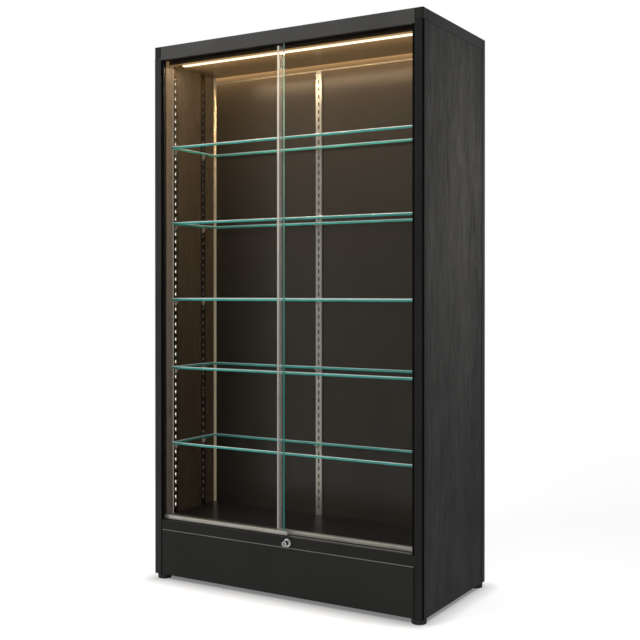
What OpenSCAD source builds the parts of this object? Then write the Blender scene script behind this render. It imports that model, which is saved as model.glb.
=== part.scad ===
// Free-standing display case with bypass glass doors, glass shelves and a lit ceiling.
// Millimetres, +Z up. X runs across the front, the doors face -Y, and the feet stand on z = 0.
// Depths are measured back from the front plane of the posts.

/* [Overall] */
// Width over the posts
case_w = 708; // [560:4:900]
// Depth over the posts
case_d = 340; // [310:5:420]
// Height from the floor to the top of the rails
case_h = 1270; // [1250:10:1500]

/* [Feet] */
// Height of the gap between floor and base
foot_h = 12; // [9:0.5:20]
// Diameter of the foot pad
foot_d = 32; // [26:1:34]
// Distance of each foot's centre from the outer faces
foot_inset = 17.5; // [17.2:0.1:19]
// Diameter of the levelling stem
stem_d = 6; // [5:0.5:6.4]
// Length of the levelling stem inside the base frame
stem_len = 22; // [12:1:28]

/* [Posts and rails] */
// Face width of the square post extrusion
post_w = 20; // [20:0.5:24]
// Wall of the post and rail extrusions
post_wall = 1.8; // [1.4:0.1:2.2]
// Radius of the outer post corner
post_r = 5; // [3:0.5:6]
// Radius of the top outer edge of rails and corner blocks
edge_r = 2; // [1:0.5:3]
// Height of the top corner blocks and of the side and rear rails
block_h = 25; // [22:1:32]
// How far the front header hangs below the corner blocks
header_drop = 7; // [4:1:12]
// Thickness of the header's front web
header_web = 9; // [8:0.5:10]
// Height of the header's top flange
header_flange = 10; // [8:0.5:12]
// Length of the spigots on the corner blocks
spigot_len = 16; // [10:1:24]
// Width of the shadow joint around the corner blocks
joint_w = 1.6; // [1:0.1:2]
// Depth of that joint
joint_d = 1.4; // [0.8:0.1:1.6]
// Width of the lip beside the doors on the front posts
lip_w = 6.5; // [4:0.5:8]
// Step from the front plane to that lip
lip_recess = 3.5; // [2.5:0.5:4]
// Thickness of that lip
lip_t = 2.5; // [2:0.5:3]
// Ledge that carries the top panel
ledge_w = 8; // [5:1:10]
// Thickness of that ledge
ledge_t = 2; // [1.5:0.5:2.5]

/* [Panels] */
// Thickness of the side panels
panel_t = 15; // [12:0.5:16]
// Step from the post's side face to the side panel
panel_recess = 1; // [1:0.5:2.5]
// Depth of the post groove that takes the side panel
groove_d = 6; // [5:0.5:7]
// Thickness of the top panel
top_t = 6; // [4:0.5:7]
// Thickness of the ceiling panel
ceiling_t = 8; // [5:0.5:12]
// Distance from the top of the case to the underside of the ceiling
ceiling_drop = 37.5; // [35:0.5:45]
// Depth of the back panel's front face
back_depth = 220; // [180:5:280]
// Thickness of the back panel
back_t = 4; // [3:0.5:6]
// Width of the beads that hold the back panel at the sides
bead_w = 5; // [4:0.5:5.5]
// Depth of those beads
bead_d = 5; // [3:0.5:6]
// Distance from the ceiling to the underside of the upper bead
bead_drop = 16; // [10:1:24]
// Height of the upper bead
bead_h = 3; // [2:0.5:5]
// Thickness of the rear cover
cover_t = 5; // [4:0.5:6]
// Step from the rear plane to the rear cover
cover_inset = 3; // [2:0.5:4]
// Depth of the post slot that takes the rear cover
cover_slot = 5; // [3:0.5:6]

/* [Base] */
// Height of the kick panel
kick_h = 105.5; // [70:0.5:150]
// Step from the front plane to the kick panel
kick_recess = 1; // [0.5:0.5:2]
// Gap between the kick panel and each post
kick_gap = 2.5; // [1:0.5:4]
// Height of the bright trim above the kick panel
trim_h = 2; // [1:0.5:3]
// Height of the band above the trim
band_h = 22.5; // [22:0.5:27]
// Step from the front plane to the band
band_recess = 1.5; // [1:0.1:2]
// Thickness of the band
band_t = 9; // [8:0.5:9.5]
// Thickness of the band's rear flange
flange_t = 2; // [1.5:0.5:2]
// Thickness of the display floor
deck_t = 16; // [12:1:18]
// Height of the display floor above the top of the band
deck_rise = 6; // [4:0.5:7]
// Side of the base frame's corner blocks
base_block = 40; // [36:1:50]
// Height of those corner blocks
base_block_h = 30; // [28:1:40]
// Width of the base frame channels
channel_w = 20; // [16:1:24]
// Height of the base frame channels
channel_h = 25; // [20:1:28]
// Wall of the base frame channels
channel_wall = 2; // [1.5:0.5:3]

/* [Sliding doors] */
// Thickness of the door glass
glass_t = 6; // [5:0.5:6.5]
// Depth of the front door's glass
glass_depth = 14; // [13.8:0.1:15]
// Distance between the two door planes
door_pitch = 13; // [12.5:0.1:14]
// Right edge of the left door, from the centre line
left_door_edge = 4; // [0:1:10]
// Left edge of the right door's glass, from the centre line
right_door_edge = -19; // [-30:1:-10]
// Gap between a closed door and its post
door_gap = 0.5; // [0.3:0.1:1]
// Door travel left over at the far post
travel_spare = 2; // [1:0.5:5]
// How far the glass reaches into the upper track
glass_engage = 7; // [5:0.5:10]
// Wall of the door shoe
shoe_wall = 1.5; // [1.2:0.1:1.6]
// Height of glass held by the shoe
shoe_grip = 9.5; // [8:0.5:12]
// Length of the left shoe past the glass, where the lock bolt stops it
keeper_len = 11; // [8:0.5:12]
// Gap under the door shoes
shoe_gap = 1; // [0.6:0.1:1.5]
// Width of the seal on the right door's inner edge
seal_w = 8; // [6:0.5:10]

/* [Rollers and tracks] */
// Diameter of the door rollers
roller_d = 14; // [13:0.5:15]
// Width of the door rollers
roller_w = 5; // [4:0.25:5.2]
// Depth of the roller's running groove
roller_groove = 1.6; // [1:0.1:1.8]
// Diameter of the roller axles
axle_d = 3; // [2.5:0.1:4]
// Distance of each roller from the end of its shoe
roller_end = 80; // [65:1:110]
// Width of the running rib in the lower track
rib_w = 2; // [1.6:0.1:2]
// Height of that rib above the track's base
rib_h = 4.4; // [4:0.1:6]
// Base and wall thickness of the tracks
track_t = 1.6; // [1.2:0.1:2]
// Width of the lip that caps the front edge of the floor
track_lip = 8; // [4:0.5:12]
// Side gap between glass and upper track
guide_gap = 1; // [0.8:0.1:1.2]
// Height of the upper track
upper_track_h = 21; // [18:0.5:21]

/* [Shelves] */
// Thickness of the glass shelves
shelf_t = 6; // [5:0.5:10]
// Depth of the shelves' front edge
shelf_front = 40; // [38:1:48]
// Gap between shelf end and pilaster face
shelf_gap = 2.5; // [2:0.5:5]
// Gap between shelf and back pilaster
shelf_rear_gap = 1; // [0.5:0.5:3]
// Slots that carry the shelves, counted up from the floor, starting at 0
shelf_slots = [8, 18, 27, 37, 47];

/* [Pilasters and clips] */
// Width of the slotted pilasters
pilaster_w = 16; // [14:0.5:20]
// Depth of the pilaster channel
pilaster_d = 5; // [4.5:0.5:6]
// Wall of the pilaster channel
pilaster_wall = 1.2; // [1:0.1:1.5]
// How deep the side pilasters are let into the side panels
dado_d = 3; // [2:0.5:4]
// Depth of the front pilasters' centre line
pilaster_front = 58; // [54:1:80]
// Depth of the rear pilasters' centre line
pilaster_rear = 169; // [130:1:190]
// Place of the back pilaster, from the centre line
back_pilaster_x = -24; // [-100:1:100]
// Pitch of the slots
slot_pitch = 18.3; // [16:0.1:19]
// Height of the lowest slot above the floor
slot_first = 19.4; // [15:0.1:30]
// Height of a slot
slot_h = 10; // [10:0.5:12]
// Width of a slot
slot_w = 4; // [3.6:0.1:6]
// Length of the clip's arm
clip_arm = 13; // [10:0.5:18]
// Width of the clip
clip_w = 9; // [7:0.5:12]
// Height of the clip's back plate
clip_h = 15; // [12:1:17]
// Sheet thickness of the clip
clip_t = 1.5; // [1:0.1:2]
// Height of the clip's shelf seat above the slot's centre
clip_seat = 3; // [2:0.1:3.5]

/* [Light] */
// Depth of the light bar's centre line
led_depth = 60; // [56:1:120]
// Width of the light bar's flange
led_w = 16; // [13:0.5:24]
// Width of the flange on each side of the channel
led_lip = 2; // [1.5:0.5:3]
// Height of the channel above the underside of the ceiling
led_h = 9; // [8:0.5:12]
// How far the milky cover stands below the flange
led_cover = 1.5; // [1.2:0.1:2]
// Gap between the light bar and each side panel
led_end_gap = 16; // [6:1:40]
// Wall of the light bar's channel
led_wall = 1.2; // [1:0.1:1.6]
// Spacing of the light chips
chip_pitch = 20; // [10:1:40]
// Length of the driver box
driver_l = 160; // [100:5:220]
// Width of the driver box
driver_w = 42; // [30:1:60]
// Height of the driver box
driver_h = 30; // [20:1:40]
// Gap between the driver box and the rear cover
driver_gap = 3; // [2:1:6]
// Place of the driver box across the case
driver_x = -120; // [-180:5:0]

/* [Rear cover details] */
// Place of the cable outlet across the case
outlet_x = 200; // [100:10:240]
// Height of the cable outlet above the floor of the case
outlet_rise = 62; // [40:1:120]
// Diameter of the hole for the grommet
outlet_d = 30; // [24:1:36]
// Bore of the grommet
grommet_bore = 18; // [12:1:20]
// Number of vent slots in a row
vent_count = 7; // [3:1:8]
// Length of a vent slot
vent_l = 46; // [20:1:50]
// Height of a vent slot
vent_h = 5; // [3:0.5:8]
// Distance between vent slots
vent_pitch = 68; // [60:1:70]
// Distance of the wall fixing holes from the centre line
fixing_x = 200; // [100:10:240]
// Diameter of the wall fixing holes
fixing_d = 5.5; // [4:0.5:7]

/* [Lock] */
// Place of the lock, from the centre line
lock_x = 24; // [22:0.5:30]
// Diameter of the lock's flange
lock_flange_d = 18; // [17:0.5:19]
// Thickness of the lock's flange
lock_flange_t = 2.5; // [2:0.1:3]
// Diameter of the lock's barrel
lock_barrel_d = 15; // [14.4:0.1:16]
// Diameter of the push knob
knob_d = 12; // [11:0.1:12.4]
// Diameter of the key core
core_d = 8; // [7:0.1:9]
// Length of the key core
core_len = 12; // [8:0.5:13]
// Diameter of the locking bolt
bolt_d = 6; // [5:0.1:7]
// Travel of the push knob
lock_throw = 13; // [12.6:0.1:13.5]
// How far the pushed-in knob stands proud of its flange
knob_proud = 0.5; // [0.2:0.1:1]
// Outside diameter of the strike bush
strike_d = 12; // [11:0.5:14]
// Width of the strike bush's shoulder
strike_step = 1.5; // [1:0.1:1.5]
// Height of the lock above its lowest place in the band
lock_rise = 0; // [0:0.1:1]
// Depth of the shoulder at the back of the knob
knob_back = 2.5; // [1:0.5:4]
// Gap between the left shoe and the lock in front of it and the bush behind it
lock_gap = 0.5; // [0.3:0.1:0.8]

/* [Fits] */
// Clearance of a panel or glass in its groove
fit = 0.15; // [0.1:0.05:0.3]
// Radial clearance of a turning or sliding fit
run_fit = 0.1; // [0.05:0.01:0.1]
// Gap between moving bodies that only pass each other
pass_gap = 0.3; // [0.25:0.05:0.4]

/* [Hidden] */

// Facets of round shapes
$fn = 64;
// Cutters run this far past the faces they open
over = 1;
// Outer part of the side panel that runs past the base frame
panel_skin = panel_t / 3;

// How far the released knob stands out in front of the posts
flange_front = band_recess - lock_flange_t;
knob_out = lock_throw + knob_proud - flange_front;
// The whole depth, with the knob, is centred on Y = 0
front_y = (knob_out - case_d) / 2;
rear_y = front_y + case_d;
half_w = case_w / 2;

// Heights
base_z = foot_h;
rail_z = case_h - block_h;
header_z = rail_z - header_drop;
trim_z = base_z + kick_h;
band_z = trim_z + trim_h;
band_top = band_z + band_h;
deck_top = band_top + deck_rise;
ceiling_z = case_h - ceiling_drop;
ledge_top = case_h - header_flange + ledge_t;
track_z = band_z + flange_t;
track_top = track_z + track_t;

// Faces across the case, as distances from the outer side face
panel_in = panel_recess + panel_t;
pilaster_face = panel_in - dado_d + pilaster_d;
inner_half = half_w - panel_in;

// Doors
door_left_x = -(half_w - post_w - door_gap);
door_right_x = half_w - post_w - door_gap;
seal_x = right_door_edge - (seal_w - glass_t) / 2;
left_travel = door_right_x - (left_door_edge + keeper_len) - travel_spare;
right_travel = seal_x - door_left_x - travel_spare;
shoe_w = glass_t + 2 * shoe_wall;
rib_top = track_top + rib_h;
axle_z = rib_top + pass_gap + roller_d / 2 - roller_groove;
shoe_z = track_top + shoe_gap;
shoe_roof = axle_z + roller_d / 2 + 2 * pass_gap;
glass_z = shoe_roof + shoe_wall;
shoe_top = glass_z + shoe_grip;
shoe_depth = glass_depth - shoe_wall;
upper_track_top = case_h - header_flange;
upper_track_z = upper_track_top - upper_track_h;
glass_top = upper_track_z + glass_engage;
track_front = band_recess + band_t;
track_back = glass_depth + door_pitch + glass_t + shoe_wall + pass_gap + track_t;
upper_back = glass_depth + door_pitch + glass_t + guide_gap + track_t;
left_rollers = [door_left_x + roller_end, left_door_edge - roller_end];
right_rollers = [right_door_edge + roller_end, door_right_x - roller_end];

// Shelves and pilasters
shelf_back = back_depth - pilaster_d - shelf_rear_gap;
shelf_half = half_w - pilaster_face - shelf_gap;
slot_top = ceiling_z - bead_drop - slot_first;
led_half = inner_half - led_end_gap;
slot_count = floor((slot_top - deck_top - slot_first) / slot_pitch) + 1;
function slot_z(k) = deck_top + slot_first + k * slot_pitch;
function depth(d) = front_y + d;

// Lock: the bolt runs over the front rib, and the barrel stays clear of the track
lock_low = max((band_z + band_top) / 2, rib_top + pass_gap + bolt_d / 2,
               track_top + fit + lock_barrel_d / 2);
lock_z = lock_low + lock_rise;
knob_front = flange_front - knob_proud - lock_throw;
bolt_tip = shoe_depth - lock_gap;
barrel_back = shoe_depth - lock_gap;
strike_front = shoe_depth + shoe_w + lock_gap;
strike_neck = strike_d - 2 * strike_step;

// Runs a flat shape along +X, with its first axis along Y
module along_x(length) {
    rotate([90, 0, 90]) linear_extrude(length) children();
}

// Runs a flat shape along +Y, with its first axis along X
module along_y(length) {
    translate([0, length, 0]) rotate([90, 0, 0]) linear_extrude(length) children();
}

// A round bar along +Y from the given depth
module bar_y(x, from, to, z, d) {
    translate([x, depth(to), z]) rotate([90, 0, 0]) cylinder(h = to - from, d = d);
}

module flip_x(on) {
    if (on) mirror([1, 0, 0]) children();
    else children();
}

module flip_y(on) {
    if (on) mirror([0, 1, 0]) children();
    else children();
}

// Puts a shape drawn inwards from the outer front left corner into any corner
module in_corner(right, rear) {
    translate([right ? half_w : -half_w, rear ? rear_y : front_y, 0])
        flip_x(right) flip_y(rear) children();
}

module on_side(right) {
    flip_x(right) children();
}

// Rectangle whose first corner is rounded
module cornered(w, d, r) {
    translate([r, 0]) square([w - r, d]);
    translate([0, r]) square([w, d - r]);
    translate([r, r]) circle(r);
}

// Rectangle whose top outer corner is rounded
module rail_outline(w, h, r) {
    square([w, h - r]);
    translate([r, 0]) square([w - r, h]);
    translate([r, h - r]) circle(r);
}

// Inside of the post, which takes the spigot of a corner block
module post_core(rear, clear) {
    hollow_w = (rear ? post_w - cover_slot : post_w) - 2 * post_wall;
    hollow_d = post_w - groove_d - 2 * post_wall;
    translate([post_wall + clear, post_wall + clear])
        cornered(hollow_w - 2 * clear, hollow_d - 2 * clear, post_r - post_wall);
}

module post_outline(rear) {
    difference() {
        cornered(post_w, post_w, post_r);
        post_core(rear, 0);
        translate([panel_recess - fit, post_w - groove_d])
            square([panel_t + 2 * fit, groove_d + over]);
        if (rear) {
            translate([post_w - cover_slot, cover_inset - fit])
                square([cover_slot + over, cover_t + 2 * fit]);
        }
    }
}

// Post extrusion, with its groove's lip cut away at the foot for the base frame
module post(right, rear) {
    color("#2b2b2a") in_corner(right, rear) {
        difference() {
            translate([0, 0, base_z]) linear_extrude(rail_z - base_z) post_outline(rear);
            translate([panel_in - over, post_w - groove_d, base_z - over])
                cube([post_w - panel_in + 2 * over, groove_d + over, base_block_h + over + fit]);
        }
        if (!rear) {
            translate([post_w - post_wall / 2, lip_recess, band_top + fit])
                cube([lip_w + post_wall / 2, lip_t, header_z - band_top - 2 * fit]);
        }
    }
}

// Front and top skin of a corner block, removed where a rail meets it
module joint_outline() {
    difference() {
        translate([-over, -over]) square([post_w + 2 * over, block_h + 2 * over]);
        translate([joint_d, -2 * over]) square([post_w + 2 * over, block_h - joint_d + 2 * over]);
    }
}

// Shadow joints of a corner block towards the post and both rails
module block_joints() {
    translate([0, 0, rail_z - over]) linear_extrude(joint_w + over) difference() {
        translate([-over, -over]) square(post_w + 2 * over);
        translate([joint_d, joint_d]) cornered(post_w + over, post_w + over, post_r - joint_d);
    }
    translate([post_w - joint_w, 0, rail_z]) along_x(joint_w + over) joint_outline();
    translate([0, post_w - joint_w, rail_z]) along_y(joint_w + over) joint_outline();
}

// Cast corner block with a spigot down into the post and one into each rail
module corner_block(right, rear) {
    side_core = post_wall + fit;
    color("#333332") in_corner(right, rear) {
        difference() {
            intersection() {
                translate([0, 0, rail_z]) linear_extrude(block_h) cornered(post_w, post_w, post_r);
                translate([0, 0, rail_z]) along_x(post_w) rail_outline(post_w, block_h, edge_r);
                translate([0, 0, rail_z]) along_y(post_w) rail_outline(post_w, block_h, edge_r);
            }
            block_joints();
        }
        translate([0, 0, rail_z - spigot_len]) linear_extrude(spigot_len) post_core(rear, fit);
        translate([side_core, post_w, rail_z + side_core])
            cube([post_w - 2 * side_core, spigot_len, block_h - 2 * side_core]);
        if (rear) {
            translate([post_w, side_core, rail_z + side_core])
                cube([spigot_len, post_w - 2 * side_core, block_h - 2 * side_core]);
        } else {
            translate([post_w, side_core, rail_z + side_core])
                cube([spigot_len, header_web - 2 * side_core, block_h - 2 * side_core]);
        }
    }
}

// Hollow rail outline with the ledge for the top panel
module rail_section() {
    difference() {
        rail_outline(post_w, block_h, edge_r);
        translate([post_wall, post_wall])
            square([post_w - 2 * post_wall, block_h - 2 * post_wall]);
    }
}

// Ledge on the inner wall of a rail, drawn like the rail
module ledge() {
    translate([post_w - post_wall / 2, ledge_top - ledge_t]) square([ledge_w + post_wall / 2, ledge_t]);
}

module top_rail(right) {
    side = case_d - 2 * post_w;
    color("#333332") in_corner(right, false) translate([0, post_w, 0]) {
        translate([0, 0, rail_z]) along_y(side) rail_section();
        translate([0, ledge_w + fit, 0]) along_y(side - 2 * (ledge_w + fit)) ledge();
    }
}

// Rear rail, with two holes for fixing the case to a wall
module top_rail_rear() {
    color("#333332") difference() {
        in_corner(false, true) translate([post_w, 0, 0]) {
            translate([0, 0, rail_z]) along_x(case_w - 2 * post_w) rail_section();
            along_x(case_w - 2 * post_w) ledge();
        }
        for (x = [-fixing_x, fixing_x])
            bar_y(x, case_d - post_w - over, case_d + over, rail_z + block_h / 2, fixing_d);
    }
}

// Front header: a hollow web with a hollow flange behind it
module header_outline() {
    height = case_h - header_z;
    difference() {
        union() {
            rail_outline(header_web, height, edge_r);
            translate([edge_r, height - header_flange]) square([post_w - edge_r, header_flange]);
        }
        translate([post_wall, post_wall]) square([header_web - 2 * post_wall, height - 2 * post_wall]);
        translate([post_wall, height - header_flange + post_wall])
            square([post_w - 2 * post_wall, header_flange - 2 * post_wall]);
    }
}

module header() {
    color("#3c3c3b") translate([-half_w + post_w, front_y, 0]) {
        translate([0, 0, header_z]) along_x(case_w - 2 * post_w) header_outline();
        along_x(case_w - 2 * post_w) ledge();
    }
}

// Top panel, laid on the rails' ledges
module top_panel() {
    inset = post_w + fit;
    color("#2c2c2b") translate([-half_w + inset, depth(inset), ledge_top])
        cube([case_w - 2 * inset, case_d - 2 * inset, top_t]);
}

// A board between the side panels, with its ends let into them
module board(from, to, z, t) {
    half = inner_half + dado_d - fit;
    translate([-half, depth(from), z]) cube([2 * half, to - from, t]);
}

// Groove for such a board, drawn from the outer front left corner
module board_dado(from, to, z, t) {
    translate([panel_in - dado_d, from - fit, z - fit])
        cube([dado_d + over, to - from + 2 * fit, t + 2 * fit]);
}

// Ceiling of the lit space, from behind the upper track to the back panel's top, with a slot for
// the light bar
module ceiling_panel() {
    half = led_half + fit;
    slot = led_w - 2 * led_lip + 2 * fit;
    color("#3a332b") difference() {
        board(track_back, back_depth + back_t, ceiling_z, ceiling_t);
        translate([-half, depth(led_depth) - slot / 2, ceiling_z - over])
            cube([2 * half, slot, ceiling_t + 2 * over]);
    }
}

// Side panel, grooved for the pilasters and boards and notched over the base frame
module side_panel(right) {
    front = post_w - groove_d + fit;
    notch = base_block - front;
    color("#353433") in_corner(right, false) difference() {
        translate([panel_recess, front, base_z])
            cube([panel_t, case_d - 2 * front, rail_z - base_z]);
        for (d = [pilaster_front, pilaster_rear])
            translate([panel_in - dado_d, d - pilaster_w / 2 - fit, deck_top])
                cube([dado_d + over, pilaster_w + 2 * fit, ceiling_z - deck_top]);
        board_dado(track_back, back_depth + back_t, ceiling_z, ceiling_t);
        board_dado(back_depth, back_depth + back_t, deck_top, ceiling_z - deck_top);
        board_dado(track_back, case_d - post_w, deck_top - deck_t, deck_t);
        for (d = [front - over, case_d - base_block - fit])
            translate([panel_recess + panel_skin, d, base_z - over])
                cube([panel_t, notch + over + fit, base_block_h + over + fit]);
    }
}

module back_panel() {
    color("#1c1a18") board(back_depth, back_depth + back_t, deck_top, ceiling_z - deck_top);
}

// Two corner beads and the upper bead that hold the back panel
module back_beads() {
    color("#b9b2a4") {
        for (right = [false, true])
            on_side(right) translate([-inner_half, depth(back_depth), deck_top])
                linear_extrude(ceiling_z - deck_top)
                    polygon([[0, 0], [0, -bead_d], [bead_w / 3, -bead_d], [bead_w, 0]]);
        translate([-inner_half + bead_w, depth(back_depth - bead_d), ceiling_z - bead_drop])
            cube([2 * (inner_half - bead_w), bead_d, bead_h]);
    }
}

// Rear cover, slid into the rear posts, with two rows of vents and the cable outlet
module rear_cover() {
    half = half_w - post_w + cover_slot - fit;
    back = case_d - cover_inset;
    color("#2a2a29") difference() {
        translate([-half, depth(back - cover_t), base_z]) cube([2 * half, cover_t, rail_z - base_z]);
        for (z = [deck_top + 3 * vent_h, ceiling_z - bead_drop - 3 * vent_h])
            for (i = [0 : vent_count - 1])
                translate([(i - (vent_count - 1) / 2) * vent_pitch - vent_l / 2,
                           depth(back - cover_t - over), z])
                    cube([vent_l, cover_t + 2 * over, vent_h]);
        bar_y(outlet_x, back - cover_t - over, back + over, deck_top + outlet_rise, outlet_d);
    }
}

// Snap-in grommet, turned about the outlet's axis
module cable_grommet() {
    back = case_d - cover_inset;
    lip = 2;
    neck = outlet_d / 2 - run_fit;
    bore = grommet_bore / 2;
    color("#1a1a1a") translate([outlet_x, depth(back), deck_top + outlet_rise])
        rotate([-90, 0, 0]) rotate_extrude() polygon([
            [bore, -cover_t - lip], [neck + lip / 2, -cover_t - lip], [neck + lip / 2, -cover_t - lip / 2],
            [neck, -cover_t], [neck, 0], [neck + lip, 0], [neck + lip, lip / 2],
            [neck + lip / 2, lip], [bore, lip]]);
}

// Channel of the base frame, open towards the middle of the case
module channel_section() {
    difference() {
        square([channel_w, channel_h]);
        translate([channel_wall, channel_wall])
            square([channel_w, channel_h - 2 * channel_wall]);
    }
}

// Welded base frame: four corner blocks bored for the feet, joined by channels
module base_frame() {
    edge = panel_in + fit;
    skin = panel_recess + panel_skin + fit;
    front = post_w - groove_d + fit;
    color("#242424") for (right = [false, true], rear = [false, true])
        in_corner(right, rear) translate([0, 0, base_z]) {
            difference() {
                linear_extrude(base_block_h) polygon([
                    [skin, front], [base_block, front], [base_block, base_block * 0.75],
                    [base_block * 0.75, base_block], [skin, base_block]]);
                translate([foot_inset, foot_inset, -over])
                    cylinder(h = base_block_h + 2 * over, d = stem_d + 2 * run_fit);
            }
            translate([edge, base_block - channel_w / 2, 0])
                along_y(case_d / 2 - base_block + channel_w / 2) channel_section();
            translate([base_block - channel_w / 2, front, 0])
                along_x(half_w - base_block + channel_w / 2) channel_section();
        }
}

module kick_panel() {
    half = half_w - post_w - kick_gap;
    back = post_w - groove_d;
    color("#262625") translate([-half, depth(kick_recess), base_z])
        cube([2 * half, back - kick_recess, kick_h]);
}

// Thin bright strip with a rounded nose
module kick_trim() {
    half = half_w - post_w - kick_gap;
    back = post_w - groove_d;
    color("#9a9a96") translate([-half, depth(kick_recess), trim_z])
        along_x(2 * half) {
            translate([trim_h / 2, 0]) square([back - kick_recess - trim_h / 2, trim_h]);
            translate([trim_h / 2, trim_h / 2]) circle(d = trim_h);
        }
}

// Hollow band with a flange behind it that carries the lower track
module front_band() {
    color("#2b2b2a") difference() {
        translate([-half_w + post_w, depth(band_recess), band_z]) along_x(case_w - 2 * post_w) {
            difference() {
                square([band_t, band_h]);
                translate([post_wall, post_wall])
                    square([band_t - 2 * post_wall, band_h - 2 * post_wall]);
            }
            translate([band_t - over, 0]) square([track_back - track_front + over, flange_t]);
        }
        bar_y(lock_x, 0, track_front + over, lock_z, lock_barrel_d + 2 * run_fit);
    }
}

// Floor of the lit space, also let into the side panels
module deck() {
    color("#2a2826") board(track_back, case_d - post_w, deck_top - deck_t, deck_t);
}

// Lower track: two round-topped running ribs and a rear leg that caps the floor's edge
module lower_track() {
    half = half_w - post_w;
    color("#b8b3a8") translate([-half, 0, track_z]) along_x(2 * half) {
        translate([depth(track_front), 0]) square([track_back - track_front, track_t]);
        for (d = [glass_depth, glass_depth + door_pitch])
            translate([depth(d + glass_t / 2), 0]) {
                translate([-rib_w / 2, 0]) square([rib_w, track_t + rib_h - rib_w / 2]);
                translate([0, track_t + rib_h - rib_w / 2]) circle(d = rib_w);
            }
        translate([depth(track_back - track_t), 0])
            square([track_t, deck_top - track_z + track_t]);
        translate([depth(track_back - track_t / 2), deck_top - track_z])
            square([track_lip + track_t / 2, track_t]);
        translate([depth(track_back + track_lip), deck_top - track_z])
            intersection() {
                circle(track_t);
                translate([-over, 0]) square(2 * track_t);
            }
    }
}

// Upper track: two deep channels side by side, hung under the header's flange
module upper_track() {
    half = half_w - post_w;
    front = glass_depth - guide_gap - track_t;
    color("#1f1f1f") translate([-half, 0, upper_track_z]) along_x(2 * half) {
        translate([depth(front), upper_track_h - track_t])
            square([upper_back - front, track_t]);
        for (d = [glass_depth, glass_depth + door_pitch]) {
            translate([depth(d - guide_gap - track_t), 0]) square([track_t, upper_track_h]);
            translate([depth(d + glass_t + guide_gap), 0]) square([track_t, upper_track_h]);
        }
    }
}

// Door glass between its own two edges, standing in the shoe
module door_glass(from, to, d) {
    color("#6fb0a6", 0.4) translate([from, depth(d), glass_z])
        cube([to - from, glass_t, glass_top - glass_z]);
}

// Shoe section: glass channel above, roller channel below
module shoe_section() {
    difference() {
        square([shoe_w, shoe_top - shoe_z]);
        translate([shoe_wall, -over]) square([glass_t, shoe_roof - shoe_z + over]);
        translate([shoe_wall, glass_z - shoe_z]) square([glass_t, shoe_grip + over]);
    }
}

module door_shoe(from, to, d, rollers, strike) {
    color("#c9c4b8") difference() {
        translate([from, depth(d - shoe_wall), shoe_z]) along_x(to - from) shoe_section();
        for (x = rollers)
            bar_y(x, d - shoe_wall - over, d + glass_t + shoe_wall + over, axle_z,
                  axle_d + 2 * run_fit);
        if (strike)
            bar_y(lock_x, d - shoe_wall - over, d + over, lock_z, strike_neck + 2 * fit);
    }
}

// Two rivet axles across the shoe
module door_axles(rollers, d) {
    color("#8d8d8d") for (x = rollers)
        bar_y(x, d - shoe_wall + fit, d + glass_t + shoe_wall - fit, axle_z, axle_d);
}

// Grooved roller that runs on the rib of the lower track
module roller(x, d) {
    bore = axle_d / 2 + run_fit;
    rim = roller_d / 2;
    floor_r = rim - roller_groove;
    half = roller_w / 2;
    bevel = 0.4;
    color("#e4e2da") translate([x, depth(d + glass_t / 2), axle_z])
        rotate([90, 0, 0]) rotate_extrude() polygon([
            [bore, -half], [rim - bevel, -half], [rim, bevel - half],
            [rim, -rib_w / 2 - 2 * pass_gap], [floor_r, -rib_w / 2 - pass_gap],
            [floor_r, rib_w / 2 + pass_gap], [rim, rib_w / 2 + 2 * pass_gap],
            [rim, half - bevel], [rim - bevel, half], [bore, half]]);
}

// Clear seal pushed over the inner edge of the right door
module door_seal() {
    d = glass_depth + door_pitch;
    skin = (seal_w - glass_t) / 2;
    color("#cfd6d2", 0.6) translate([0, 0, shoe_top]) linear_extrude(upper_track_z - shoe_top - pass_gap)
        difference() {
            translate([seal_x, depth(d - skin)]) square([seal_w, glass_t + 2 * skin]);
            translate([right_door_edge, depth(d)]) square([seal_w, glass_t]);
        }
}

// Flanged bush in the right shoe that receives the lock bolt
module strike_bush() {
    shoe_face = glass_depth + door_pitch - shoe_wall;
    color("#b0b0ae") difference() {
        union() {
            bar_y(lock_x, strike_front, shoe_face, lock_z, strike_d);
            bar_y(lock_x, shoe_face - over, shoe_face + shoe_wall, lock_z, strike_neck);
        }
        bar_y(lock_x, strike_front - over, shoe_face + shoe_wall + over, lock_z,
              bolt_d + 2 * pass_gap);
    }
}

// Glass shelf with its long edges slightly arrised
module shelf(i) {
    z = slot_z(shelf_slots[i - 1]) + clip_seat;
    arris = 0.6;
    color("#4fa297", 0.5) translate([-shelf_half, depth(shelf_front), z])
        along_x(2 * shelf_half) polygon([
            [arris, 0], [shelf_back - shelf_front - arris, 0],
            [shelf_back - shelf_front, arris], [shelf_back - shelf_front, shelf_t - arris],
            [shelf_back - shelf_front - arris, shelf_t], [arris, shelf_t],
            [0, shelf_t - arris], [0, arris]]);
}

// Slotted channel, drawn standing on z = 0 with its face at +Y = 0 and its flanges behind
module pilaster_shape(height) {
    difference() {
        translate([-pilaster_w / 2, 0, 0]) cube([pilaster_w, pilaster_d, height]);
        translate([-pilaster_w / 2 + pilaster_wall, pilaster_wall, -over])
            cube([pilaster_w - 2 * pilaster_wall, pilaster_d, height + 2 * over]);
        for (k = [0 : slot_count - 1])
            translate([-slot_w / 2, -over, slot_first + k * slot_pitch - slot_h / 2])
                cube([slot_w, pilaster_wall + 2 * over, slot_h]);
    }
}

// Places a shape at the face of a side pilaster, looking into the case
module at_side_pilaster(right, d) {
    on_side(right) translate([-half_w + pilaster_face, depth(d), 0]) rotate([0, 0, 90]) children();
}

module pilaster_side(right, d) {
    color("#c8c3b6") at_side_pilaster(right, d) translate([0, 0, deck_top])
        pilaster_shape(ceiling_z - deck_top);
}

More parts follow.
